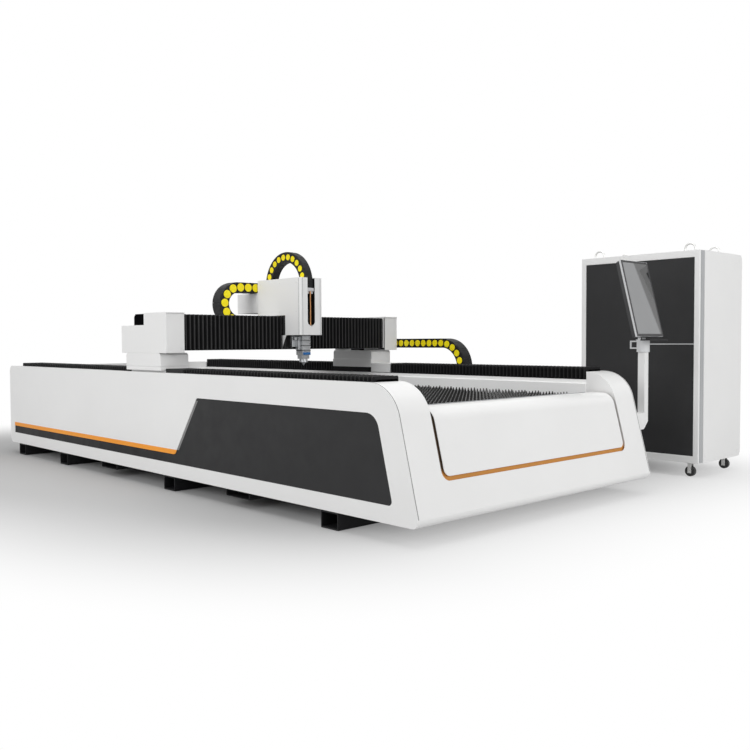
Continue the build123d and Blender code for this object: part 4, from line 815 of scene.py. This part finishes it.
# %% Chain along the bed, from the trough up to the gantry
x_low, x_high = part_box("x_chain")
x_pitch, x_height, x_radius = 0.070, 0.080, 0.210
x_upper, x_lower = 1.120, 1.060
x_bend = x_high.x - x_radius - x_height / 2
x_middle = (x_low.z + x_high.z) / 2
build_chain(
    "x_chain", (x_upper, x_radius, x_lower), x_pitch, x_height, x_high.y - x_low.y,
    lambda along, across, rise: (x_bend + along, x_low.y + across, x_middle + rise),
    cap_radius=0.028, cap_height=0.0045,
)

# %% [markdown]
# The second chain lies in the tray behind the beam, bends at the near side and feeds the
# carriage. Its caps face the operator's end.

# %% Chain behind the beam, from the tray up to the carriage
y_low, y_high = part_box("y_chain")
y_pitch, y_height, y_radius = 0.073, 0.084, 0.136
y_upper, y_lower = 0.390, 0.450
y_bend = y_low.y + y_radius + y_height / 2
y_middle = (y_low.z + y_high.z) / 2
build_chain(
    "y_chain", (y_upper, y_radius, y_lower), y_pitch, y_height, y_high.x - y_low.x,
    lambda along, across, rise: (y_high.x - across, y_bend - along, y_middle + rise),
    cap_radius=0.033, cap_height=0.0045,
)

# %% [markdown]
# The third chain stands upright as an arch over the carriage and ends inside the slot of the
# cover, on the plate that carries the head. It moves up and down with the head.

# %% Arched chain from the carriage cover down to the head
z_low, z_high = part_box("z_chain")
head_plate_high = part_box("head_plate")[1]
z_pitch, z_height, z_radius = 0.064, 0.084, 0.229
z_middle_x = z_high.x - z_radius - z_height / 2
z_middle = z_high.z - z_radius - z_height / 2
z_path = (z_middle - head_plate_high.z, z_radius, z_middle - z_low.z)
build_chain(
    "z_chain", z_path, z_pitch, z_height, z_high.y - z_low.y,
    lambda along, across, rise: (z_middle_x + rise, z_low.y + across, z_middle + along),
    cap_radius=0.024, cap_height=0.003,
)

# %% [markdown]
# ## Toothed slats
# The sheet to be cut rests on upright steel slats with pointed teeth, so that the beam meets
# little metal under the cut. An Array modifier could repeat one slat, but the row is short to
# write as a loop, and each tooth gets its own wear at the tip. The faces are black with soot. The
# edges of the teeth are a second, thin piece in a paler grey metal, which paints the glints on them.

# %% Slats
slat_low, slat_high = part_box("slats")
slat_count, slat_thickness = 40, 0.005
teeth, tooth_depth, edge_lift = 49, 0.030, 0.0004
tooth_shares = (0.10, 0.45, 0.55, 0.90)
wear_least, wear_spread = 0.001, 0.002
row_turn, tooth_turn = 12.9, 4.1
slat_step = (slat_high.x - slat_low.x - slat_thickness) / (slat_count - 1)
tooth_pitch = (slat_high.y - slat_low.y) / teeth
points, faces, edge_points, edge_faces = [], [], [], []
for row in range(slat_count):
    x = slat_low.x + row * slat_step
    outline = [(slat_high.y, slat_low.z), (slat_low.y, slat_low.z)]
    for tooth in range(teeth):
        uneven = 0.5 + 0.5 * math.sin(row_turn * row + tooth_turn * tooth)
        tip_z = slat_high.z - wear_least - wear_spread * uneven
        root_z = slat_high.z - tooth_depth
        left = slat_low.y + tooth * tooth_pitch
        heights = (root_z, tip_z, tip_z, root_z)
        profile = [(left + share * tooth_pitch, z) for share, z in zip(tooth_shares, heights)]
        outline.extend(profile)
        first = len(edge_points)
        for y, z in profile:
            edge_points.extend(((x, y, z + edge_lift), (x + slat_thickness, y, z + edge_lift)))
        for k in (first, first + 2, first + 4):
            edge_faces.append((k, k + 1, k + 3, k + 2))
    first = len(points)
    for face_x in (x, x + slat_thickness):
        points.extend((face_x, y, z) for y, z in outline)
    faces.extend(prism_faces(first, len(outline)))
# The paler grey of the tooth edges paints the glints of light on them.
make_finish(
    "tooth_edge", (0.13, 0.13, 0.13), (0.24, 0.24, 0.24), (0.4, 0.55),
    metal=0.6, wide=8, middle=40, fine=600, skin=0.0002,
)
slats = add_piece("slat_rows", points, faces, "slat_steel", "bed")
add_piece("slat_tooth_edges", edge_points, edge_faces, "slat_steel", "bed", "tooth_edge")
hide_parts("slats")
print("slats", slat_count, "with", teeth, "teeth each")

# %% [markdown]
# ## Carriage cover
# The white cover of the carriage has a tall slot in its front. Two black sheets line it, so that
# only what moves in the slot shows. Narrow grey lines mark the folds of the front sheet. They
# could be cut with a Boolean, but a raised line of half a millimetre looks the same from here.
# Two white cheeks close the sides of the carriage under the cover.

# %% Slot liner, fold lines and cheeks
cover_low, cover_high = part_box("carriage_cover")
lane_y = (cover_low.y + cover_high.y) / 2
liner_gap, liner_sheet = 0.0385, 0.0012
liner_back, liner_front = cover_high.x - 0.120, cover_high.x - 0.006
liner_foot, liner_top = cover_low.z + 0.084, cover_high.z - 0.006
liner_walls = []
for wall_y in (lane_y - liner_gap, lane_y + liner_gap):
    liner_walls.append((
        (liner_back, wall_y - liner_sheet / 2, liner_foot),
        (liner_front, wall_y + liner_sheet / 2, liner_top),
    ))
add_boxes("slot_liner", liner_walls, "black_paint", "carriage")
fold_wide, fold_rise, fold_inset = 0.003, 0.0006, 0.022
fold_foot, fold_top = cover_low.z + 0.002, cover_high.z - 0.004
fold_x = cover_high.x - fold_inset
fold_lines = []
for edge_y, inward in ((cover_low.y, 1), (cover_high.y, -1)):
    line_y, side_y = edge_y + inward * fold_inset, edge_y - inward * fold_rise
    fold_lines.append((
        (cover_high.x, line_y, fold_foot),
        (cover_high.x + fold_rise, line_y + fold_wide, fold_top),
    ))
    fold_lines.append((
        (fold_x, min(edge_y, side_y), fold_foot),
        (fold_x + fold_wide, max(edge_y, side_y), fold_top),
    ))
add_boxes("cover_seams", fold_lines, "module_grey", "carriage")
cheek_sheet, cheek_foot_depth, cheek_top_depth = 0.001, 0.045, 0.105
cheek_outline = [
    (carriage_low.x, carriage_low.z),
    (carriage_low.x + cheek_foot_depth, carriage_low.z),
    (carriage_low.x + cheek_top_depth, cover_low.z),
    (carriage_low.x, cover_low.z),
]
points, faces = [], []
for face_y, outer_y in (
    (carriage_low.y, carriage_low.y - cheek_sheet),
    (carriage_high.y, carriage_high.y + cheek_sheet),
):
    first = len(points)
    points.extend((x, y, z) for y in (face_y, outer_y) for x, z in cheek_outline)
    faces.extend(prism_faces(first, len(cheek_outline)))
add_piece("carriage_cheeks", points, faces, "white_paint", "carriage")
print("slot from", round(liner_foot, 3), "to", round(cover_high.z, 3))

# %% [markdown]
# Through the slot one sees the end of the arched chain, a bright clamp and a copper gas pipe that
# runs down and turns in to the cutting head. Both ride on the head. A bevelled curve could make
# the pipe with a smooth bend, but the bend is hidden behind the cover, so two pins are enough.

# %% Clamp and gas pipe
head_low, head_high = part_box("head_body")
clamp_x, clamp_z = head_plate_high.x, head_plate_high.z
clamp_half = 0.034
clamp_back, clamp_front = clamp_x - 0.050, clamp_x + 0.010
clamp_foot, clamp_top = clamp_z - 0.002, clamp_z + 0.026
clamp_corners = (
    (clamp_back, lane_y - clamp_half, clamp_foot),
    (clamp_front, lane_y + clamp_half, clamp_top),
)
add_boxes("chain_clamp", [clamp_corners], "plate_steel", "head", edge=0.002)
make_finish(
    "pipe_copper", (0.48, 0.22, 0.085), (0.58, 0.28, 0.11), (0.3, 0.42),
    metal=0.6, wide=20, middle=60, fine=900, skin=0.0002,
)
pipe_radius = 0.005
pipe_x, pipe_root_x = clamp_x + 0.006, head_high.x - 0.004
pipe_foot = head_high.z - 0.014
pipe_runs = [
    ((pipe_x, lane_y, pipe_foot), (pipe_x, lane_y, clamp_z), pipe_radius),
    ((pipe_root_x, lane_y, pipe_foot), (pipe_x + pipe_radius, lane_y, pipe_foot), pipe_radius),
]
add_pins("gas_pipe", pipe_runs, "screw_bronze", "head", "pipe_copper", edge=0.0006)
print("gas pipe", round(clamp_z - pipe_foot, 3), "m tall")

# %% [markdown]
# ## Cutting head
# The head is a stack of machined aluminium blocks: body, collars, the lens drawer with its blue
# front and the nozzle. Each collar stands two millimetres proud, and a thin black block above it
# is the shadow gap to the next one. A sensor block with its bracket sits on the near side. All
# of them are boxes with a small bevel, as milled parts are.

# %% Head details
drawer_low, drawer_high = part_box("lens_drawer")
drawer_half = (drawer_high.y - drawer_low.y) / 2
head_half = (head_high.y - head_low.y) / 2
axis_x = head_high.x - head_half
collar_feet, collar_height, collar_proud = (0.005, 0.041, 0.085, 0.125), 0.007, 0.002
gap_height, gap_proud = 0.005, 0.0008


def square_block(half, low, high):
    """Two corners of a square block around the head's own axis."""
    return (axis_x - half, lane_y - half, low), (axis_x + half, lane_y + half, high)


collars, shadow_gaps = [], []
for foot in collar_feet:
    collar_foot = head_low.z + foot
    collar_top = collar_foot + collar_height
    collars.append(square_block(head_half + collar_proud, collar_foot, collar_top))
    shadow_gaps.append(square_block(head_half + gap_proud, collar_top, collar_top + gap_height))
add_boxes("head_collars", collars, "head_aluminium", "head", edge=0.001)
add_boxes("head_gaps", shadow_gaps, "motor_black", "head")
drawer_margin, drawer_front_half, drawer_front_proud = 0.002, 0.034, 0.006
drawer_block = square_block(drawer_half - drawer_margin, drawer_low.z, drawer_high.z)
drawer = add_boxes("lens_drawer_block", [drawer_block], "head_aluminium", "head", edge=0.0012)
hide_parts("lens_drawer")
drawer_front = (
    (axis_x + drawer_half - drawer_margin, lane_y - drawer_front_half, drawer_low.z + drawer_margin),
    (axis_x + drawer_half + drawer_front_proud, lane_y + drawer_front_half, drawer_high.z - drawer_margin),
)
add_boxes("lens_drawer_front", [drawer_front], "lens_blue", "head", edge=0.001)
print("head stack", len(collars), "collars")

# %% [markdown]
# The sensor block is measured from the foot of the head's near face, so its boxes are small
# numbers: forward from the axis, out from the face and up from the foot.

# %% Sensor block and screws of the head
near_face = Vector((axis_x, lane_y - head_half, head_low.z))
sensor_boxes = [
    ((-0.022, -0.024, 0.019), (0.018, 0, 0.099)),
    ((-0.012, -0.016, 0.099), (0.008, 0, 0.121)),
    ((-0.030, -0.058, 0.041), (-0.018, 0, 0.123)),
    ((-0.018, -0.054, 0.095), (0.010, -0.028, 0.119)),
]


def on_near_face(corner):
    """Move a corner that is measured from the near face into the frame."""
    return near_face + Vector(corner)


add_boxes("sensor_block", sensor_boxes, "head_aluminium", "head", edge=0.0012, place=on_near_face)
bolt_radius, bolt_height, bolt_side = 0.0045, 0.003, 0.030
bolt_root, bolt_top = head_high.x, head_high.x + bolt_height
bolts = []
for bolt_y in (lane_y - bolt_side, lane_y + bolt_side):
    for bolt_z in (head_low.z + 0.065, head_low.z + 0.111):
        bolts.append(((bolt_root, bolt_y, bolt_z), (bolt_top, bolt_y, bolt_z), bolt_radius))
add_pins("head_screws", bolts, "rail_steel", "head")
print("sensor block of", len(sensor_boxes), "boxes,", len(bolts), "screws")

# %% [markdown]
# ## Operator screen
# The screen has a light grey band around the edge of its dark shell, and a black mat lies on the
# shelf under it. The screen leans back, so the band is made in the screen's own directions
# (across, up, out) and turned. An empty as parent could turn it too, but then the points would
# no longer be in the frame's metres.

# %% Screen band and shelf
screen_low, screen_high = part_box("screen_housing")
post_low, post_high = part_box("panel_post")
post_x = (post_low.x + post_high.x) / 2
lean = math.radians(14)
screen_out = Vector((math.cos(lean), 0, math.sin(lean)))
screen_up = Vector((-math.sin(lean), 0, math.cos(lean)))
screen_half, screen_tall = (screen_high.y - screen_low.y) / 2, 0.568
screen_mid_y = (screen_low.y + screen_high.y) / 2
screen_foot = Vector((post_x + 0.060, screen_mid_y, post_high.z + 0.116))


def on_screen(corner):
    """Turn (across, up, out) of the screen into the frame."""
    return screen_foot + Vector((0, corner[0], 0)) + corner[1] * screen_up + corner[2] * screen_out


band = 0.0015
band_back, band_front = -0.017, -0.003
band_bars = [
    ((-screen_half - band, -band, band_back), (-screen_half, screen_tall + band, band_front)),
    ((screen_half, -band, band_back), (screen_half + band, screen_tall + band, band_front)),
    ((-screen_half, -band, band_back), (screen_half, 0, band_front)),
    ((-screen_half, screen_tall, band_back), (screen_half, screen_tall + band, band_front)),
]
add_boxes("screen_band", band_bars, "screen_shell", "screen", "collar_grey", place=on_screen)
mat_half = 0.131
mat_back, mat_front = post_x + 0.050, post_x + 0.126
mat_foot, mat_top = post_high.z + 0.0835, post_high.z + 0.0925
mat_corners = (
    (mat_back, screen_mid_y - mat_half, mat_foot),
    (mat_front, screen_mid_y + mat_half, mat_top),
)
add_boxes("shelf_mat", [mat_corners], "black_paint", "panel_arm", edge=0.001)
print("screen leans", round(math.degrees(lean)), "degrees")

# %% [markdown]
# ## Cabinet
# The side sheets of the cabinet lie over its frame and have rounded rear corners. Two strips mark
# the groove between them and the front: a dark one for the joint, and a grey one that paints the
# shade in the groove. A pale strip in the seam of the right-hand door paints the highlight on the
# edge of the upper door. A sheet with round corners could be a curve with some thickness, but its
# outline is short to write: straight sides and two quarter circles.

# %% Cabinet skins, groove and seam
box_low, box_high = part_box("cabinet_frame")
skin, strip_rise, strip_end_gap = 0.006, 0.0006, 0.004
groove_from, groove_to, groove_line = box_low.y + 0.020, box_low.y + 0.075, 0.007
corner_radius, corner_cuts = 0.045, 8
corner_y = box_high.y - corner_radius
for side, face_x, out in (("right", box_high.x, 1), ("left", box_low.x, -1)):
    outline = [(groove_to, box_low.z), (groove_to, box_high.z)]
    for corner_z, first_turn in ((box_high.z - corner_radius, 90), (box_low.z + corner_radius, 0)):
        for cut in range(corner_cuts + 1):
            a = math.radians(first_turn - 90 * cut / corner_cuts)
            outline.append((corner_y + corner_radius * math.cos(a), corner_z + corner_radius * math.sin(a)))
    points = [(x, y, z) for x in (face_x, face_x + out * skin) for y, z in outline]
    faces = prism_faces(0, len(outline))
    plate = add_piece(f"cabinet_skin_{side}", points, faces, "white_paint", "bed")
    soften(plate, 0.001)
    strip_x = face_x + out * strip_rise
    # The grey groove strip is painted shade in the recess; the dark gap strip is the joint.
    for strip, strip_from, strip_to, strip_finish in (
        ("groove", groove_from + groove_line, groove_to, "frame_grey"),
        ("gap", groove_from, groove_from + groove_line, "module_grey"),
    ):
        strip_corners = (
            (min(face_x, strip_x), strip_from, box_low.z + strip_end_gap),
            (max(face_x, strip_x), strip_to, box_high.z - strip_end_gap),
        )
        add_boxes(f"cabinet_{strip}_{side}", [strip_corners], strip_finish, "bed")
door_low, door_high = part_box("front_panels")
split_share, split_gap = 0.52, 0.004
seam_half, seam_proud, seam_depth = 0.003, 0.0008, 0.002
seam_x = door_low.x + split_share * (door_high.x - door_low.x) + split_gap
seam_z = door_low.z + 0.864
seam_corners = (
    (seam_x, door_low.y - seam_proud, seam_z - seam_half),
    (door_high.x, door_low.y + seam_depth, seam_z + seam_half),
)
# Painted highlight: the pale strip stands for the lit edge of the upper door.
add_boxes("door_seam_highlight", [seam_corners], "white_paint", "bed", "collar_grey")
print("cabinet skin", skin, "m thick")

# %% [markdown]
# The lifting eyes on the roof are bent from round bar. A torus cut off at the roof would do. Here
# the ring is swept directly, a circle of points at each step along the bend, and no Boolean is
# needed. Points that would dip into the roof are kept at its height.

# %% Lifting eyes
eyes_low, eyes_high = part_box("lifting_eyes")
ring_radius, ring_rise, ring_cuts = 0.042, 0.018, 24
bar_radius, bar_half_thick, bar_sides = 0.0075, 0.0068, 12
eye_side, eye_edge = 0.050, 0.007
reach = math.asin(ring_rise / ring_radius)
points, faces = [], []
for eye_x in (eyes_low.x + eye_side, eyes_high.x - eye_side):
    for eye_y in (eyes_low.y + eye_edge, eyes_high.y - eye_edge):
        first = len(points)
        for cut in range(ring_cuts + 1):
            a = -reach + (math.pi + 2 * reach) * cut / ring_cuts
            for k in range(bar_sides):
                b = 2 * math.pi * k / bar_sides
                out = ring_radius + bar_radius * math.cos(b)
                points.append((
                    eye_x + out * math.cos(a),
                    eye_y + bar_half_thick * math.sin(b),
                    max(eyes_low.z, eyes_low.z + ring_rise + out * math.sin(a)),
                ))
        for cut in range(ring_cuts):
            for k in range(bar_sides):
                a, b = first + cut * bar_sides + k, first + cut * bar_sides + (k + 1) % bar_sides
                faces.append((a, a + bar_sides, b + bar_sides, b))
        faces.append(tuple(first + k for k in range(bar_sides)))
        faces.append(tuple(first + ring_cuts * bar_sides + k for k in reversed(range(bar_sides))))
eyes = add_piece("lifting_rings", points, faces, "eye_zinc", "bed", smooth=True)
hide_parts("lifting_eyes")
print("lifting rings with", len(points), "points")

# %% [markdown]
# ## Seams of the bed covers
# The side panel, the end cover and the far end cover are separate sheets. Their joints show as
# thin dark lines. A groove cut with a Boolean would change the CAD mesh, so each joint at the
# operator's end is a ribbon half a millimetre above the sheet, which follows the same arc and
# straight line as the panel's own edge. At the far end a flat strip lies in the groove between
# the two sheets.

# %% Seam ribbons
panel_low, panel_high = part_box("near_side_panel")
far_panel_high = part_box("far_side_panel")[1]
make_finish("seam_shadow", (0.20, 0.20, 0.20), (0.26, 0.26, 0.26), (0.5, 0.6), shine=0.2)
seam_wide, seam_lift, seam_edge = 0.005, 0.0005, 0.006
turn_radius, turn_end, turn_cuts = 0.23, math.radians(14.45), 20
turn_x, turn_z = panel_high.x - 0.3568, panel_high.z - turn_radius
lean_foot_x, lean_foot_z = panel_high.x - 0.0013, panel_low.z + 0.050
lifted_radius = turn_radius + seam_lift
path = []
for cut in range(turn_cuts + 1):
    a = math.pi / 2 + (turn_end - math.pi / 2) * cut / turn_cuts
    path.append((turn_x + lifted_radius * math.cos(a), turn_z + lifted_radius * math.sin(a)))
path.append((lean_foot_x + seam_lift * math.cos(turn_end), lean_foot_z + seam_lift * math.sin(turn_end)))
for side, seam_y in (
    ("near", panel_low.y + seam_edge),
    ("far", far_panel_high.y - seam_edge - seam_wide),
):
    points = [(x, y, z) for x, z in path for y in (seam_y, seam_y + seam_wide)]
    faces = [(2 * k, 2 * k + 1, 2 * k + 3, 2 * k + 2) for k in range(len(path) - 1)]
    add_piece(f"end_seam_{side}", points, faces, "white_paint", "bed", "seam_shadow")
strip_depth, strip_foot_gap, strip_top_gap = 0.002, 0.02, 0.004
strip_corners = (
    (panel_low.x - seam_wide / 2, panel_low.y + seam_lift, panel_low.z + strip_foot_gap),
    (panel_low.x + seam_wide / 2, panel_low.y + strip_depth, panel_high.z - strip_top_gap),
)
add_boxes("side_seam_near", [strip_corners], "white_paint", "bed", "seam_shadow")
print("seam points", len(path))

# %% [markdown]
# ## Edges of the dark inset
# The side panel is cut out around the dark inset, and from the operator's end the white cut edge,
# in shade, shows as a narrow grey line on the leaning side; a grey ribbon paints that shade. The
# orange stripe runs up to that line and ends in a round corner. A Bezier curve gives such a corner,
# and its formula is short enough to write out: each point is a blend of the two ends of the bend
# and the sharp corner between them.

# %% Cut edge and end of the stripe
stripe_low, stripe_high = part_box("side_stripe")
inset_front_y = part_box("side_inset_panel")[0].y
slant_foot = Vector((stripe_high.x + 0.0452, stripe_high.z))
slant = Vector((0.274, 0.380)).normalized()
slant_head = slant_foot + 0.445 * slant
rim_wide, rim_proud = Vector((0.024, 0)), 0.0005
rim = [slant_foot, slant_foot + rim_wide, slant_head + rim_wide, slant_head]
points = [(x, y, z) for y in (inset_front_y - rim_proud, inset_front_y) for x, z in rim]
# Painted shade: a grey ribbon over the shaded cut edge.
add_piece("inset_cut_edge", points, prism_faces(0, len(rim)), "white_paint", "bed", "seam_shadow")
bend_reach, bend_cuts, stripe_sunk = 0.020, 8, 0.0002
stripe_tall = stripe_high.z - stripe_low.z
sharp_corner = slant_foot - slant * (stripe_tall / slant.y)
bend_from = sharp_corner - Vector((bend_reach, 0))
bend_to = sharp_corner + bend_reach * slant
lap_x = stripe_high.x - stripe_tall
outline = [Vector((lap_x, stripe_high.z)), Vector((lap_x, stripe_low.z))]
for cut in range(bend_cuts + 1):
    t = cut / bend_cuts
    outline.append((1 - t) ** 2 * bend_from + 2 * t * (1 - t) * sharp_corner + t ** 2 * bend_to)
outline.append(slant_foot)
points = [(x, y, z) for y in (stripe_low.y + stripe_sunk, stripe_high.y) for x, z in outline]
add_piece("stripe_end", points, prism_faces(0, len(outline)), "orange_paint", "bed")
print("stripe ends at", round(slant_foot.x, 3))

# %% [markdown]
# ## Fasteners
# Covers that come off for service are held by low screws with round heads. They are small, but
# they give the eye a scale. Instances of one screw would do, but a cover's screws as one mesh
# keep the list of pieces short. Each mesh rides on the body that its cover belongs to.

# %% Screws on the covers
screw_radius, screw_height = 0.0055, 0.0022
housing_low, housing_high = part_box("end_housings")


def screws(name, places, out, body):
    """Low round heads at the given places, standing out along one direction."""
    rise = screw_height * Vector(out)
    heads = [(Vector(place), Vector(place) + rise, screw_radius) for place in places]
    add_pins(name, heads, "white_paint", body, edge=0.0007)
    print(name, len(heads))


housing_rows = (housing_low.z + 0.037, housing_low.z + 0.267)
housing_columns = [housing_low.y + margin for margin in (0.025, 0.125)]
housing_columns += [housing_high.y - margin for margin in (0.125, 0.025)]
housing_places = [(housing_high.x, y, z) for y in housing_columns for z in housing_rows]
screws("housing_screws", housing_places, (1, 0, 0), "gantry")
cover_columns = (cover_low.x + 0.04, cover_low.x + 0.30, cover_high.x - 0.05)
cover_rows = (cover_low.z + 0.186, cover_low.z + 0.416)
for side, face_y, out_y in (("near", cover_low.y, -1), ("far", cover_high.y, 1)):
    cover_places = [(x, face_y, z) for x in cover_columns for z in cover_rows]
    screws(f"cover_screws_{side}", cover_places, (0, out_y, 0), "carriage")
cabinet_columns = (groove_to + 0.03, box_high.y - 0.06)
cabinet_rows = [box_low.z + height for height in (0.05, 0.79, 1.59)]
cabinet_places = [(box_high.x + skin, y, z) for y in cabinet_columns for z in cabinet_rows]
screws("cabinet_screws", cabinet_places, (1, 0, 0), "bed")
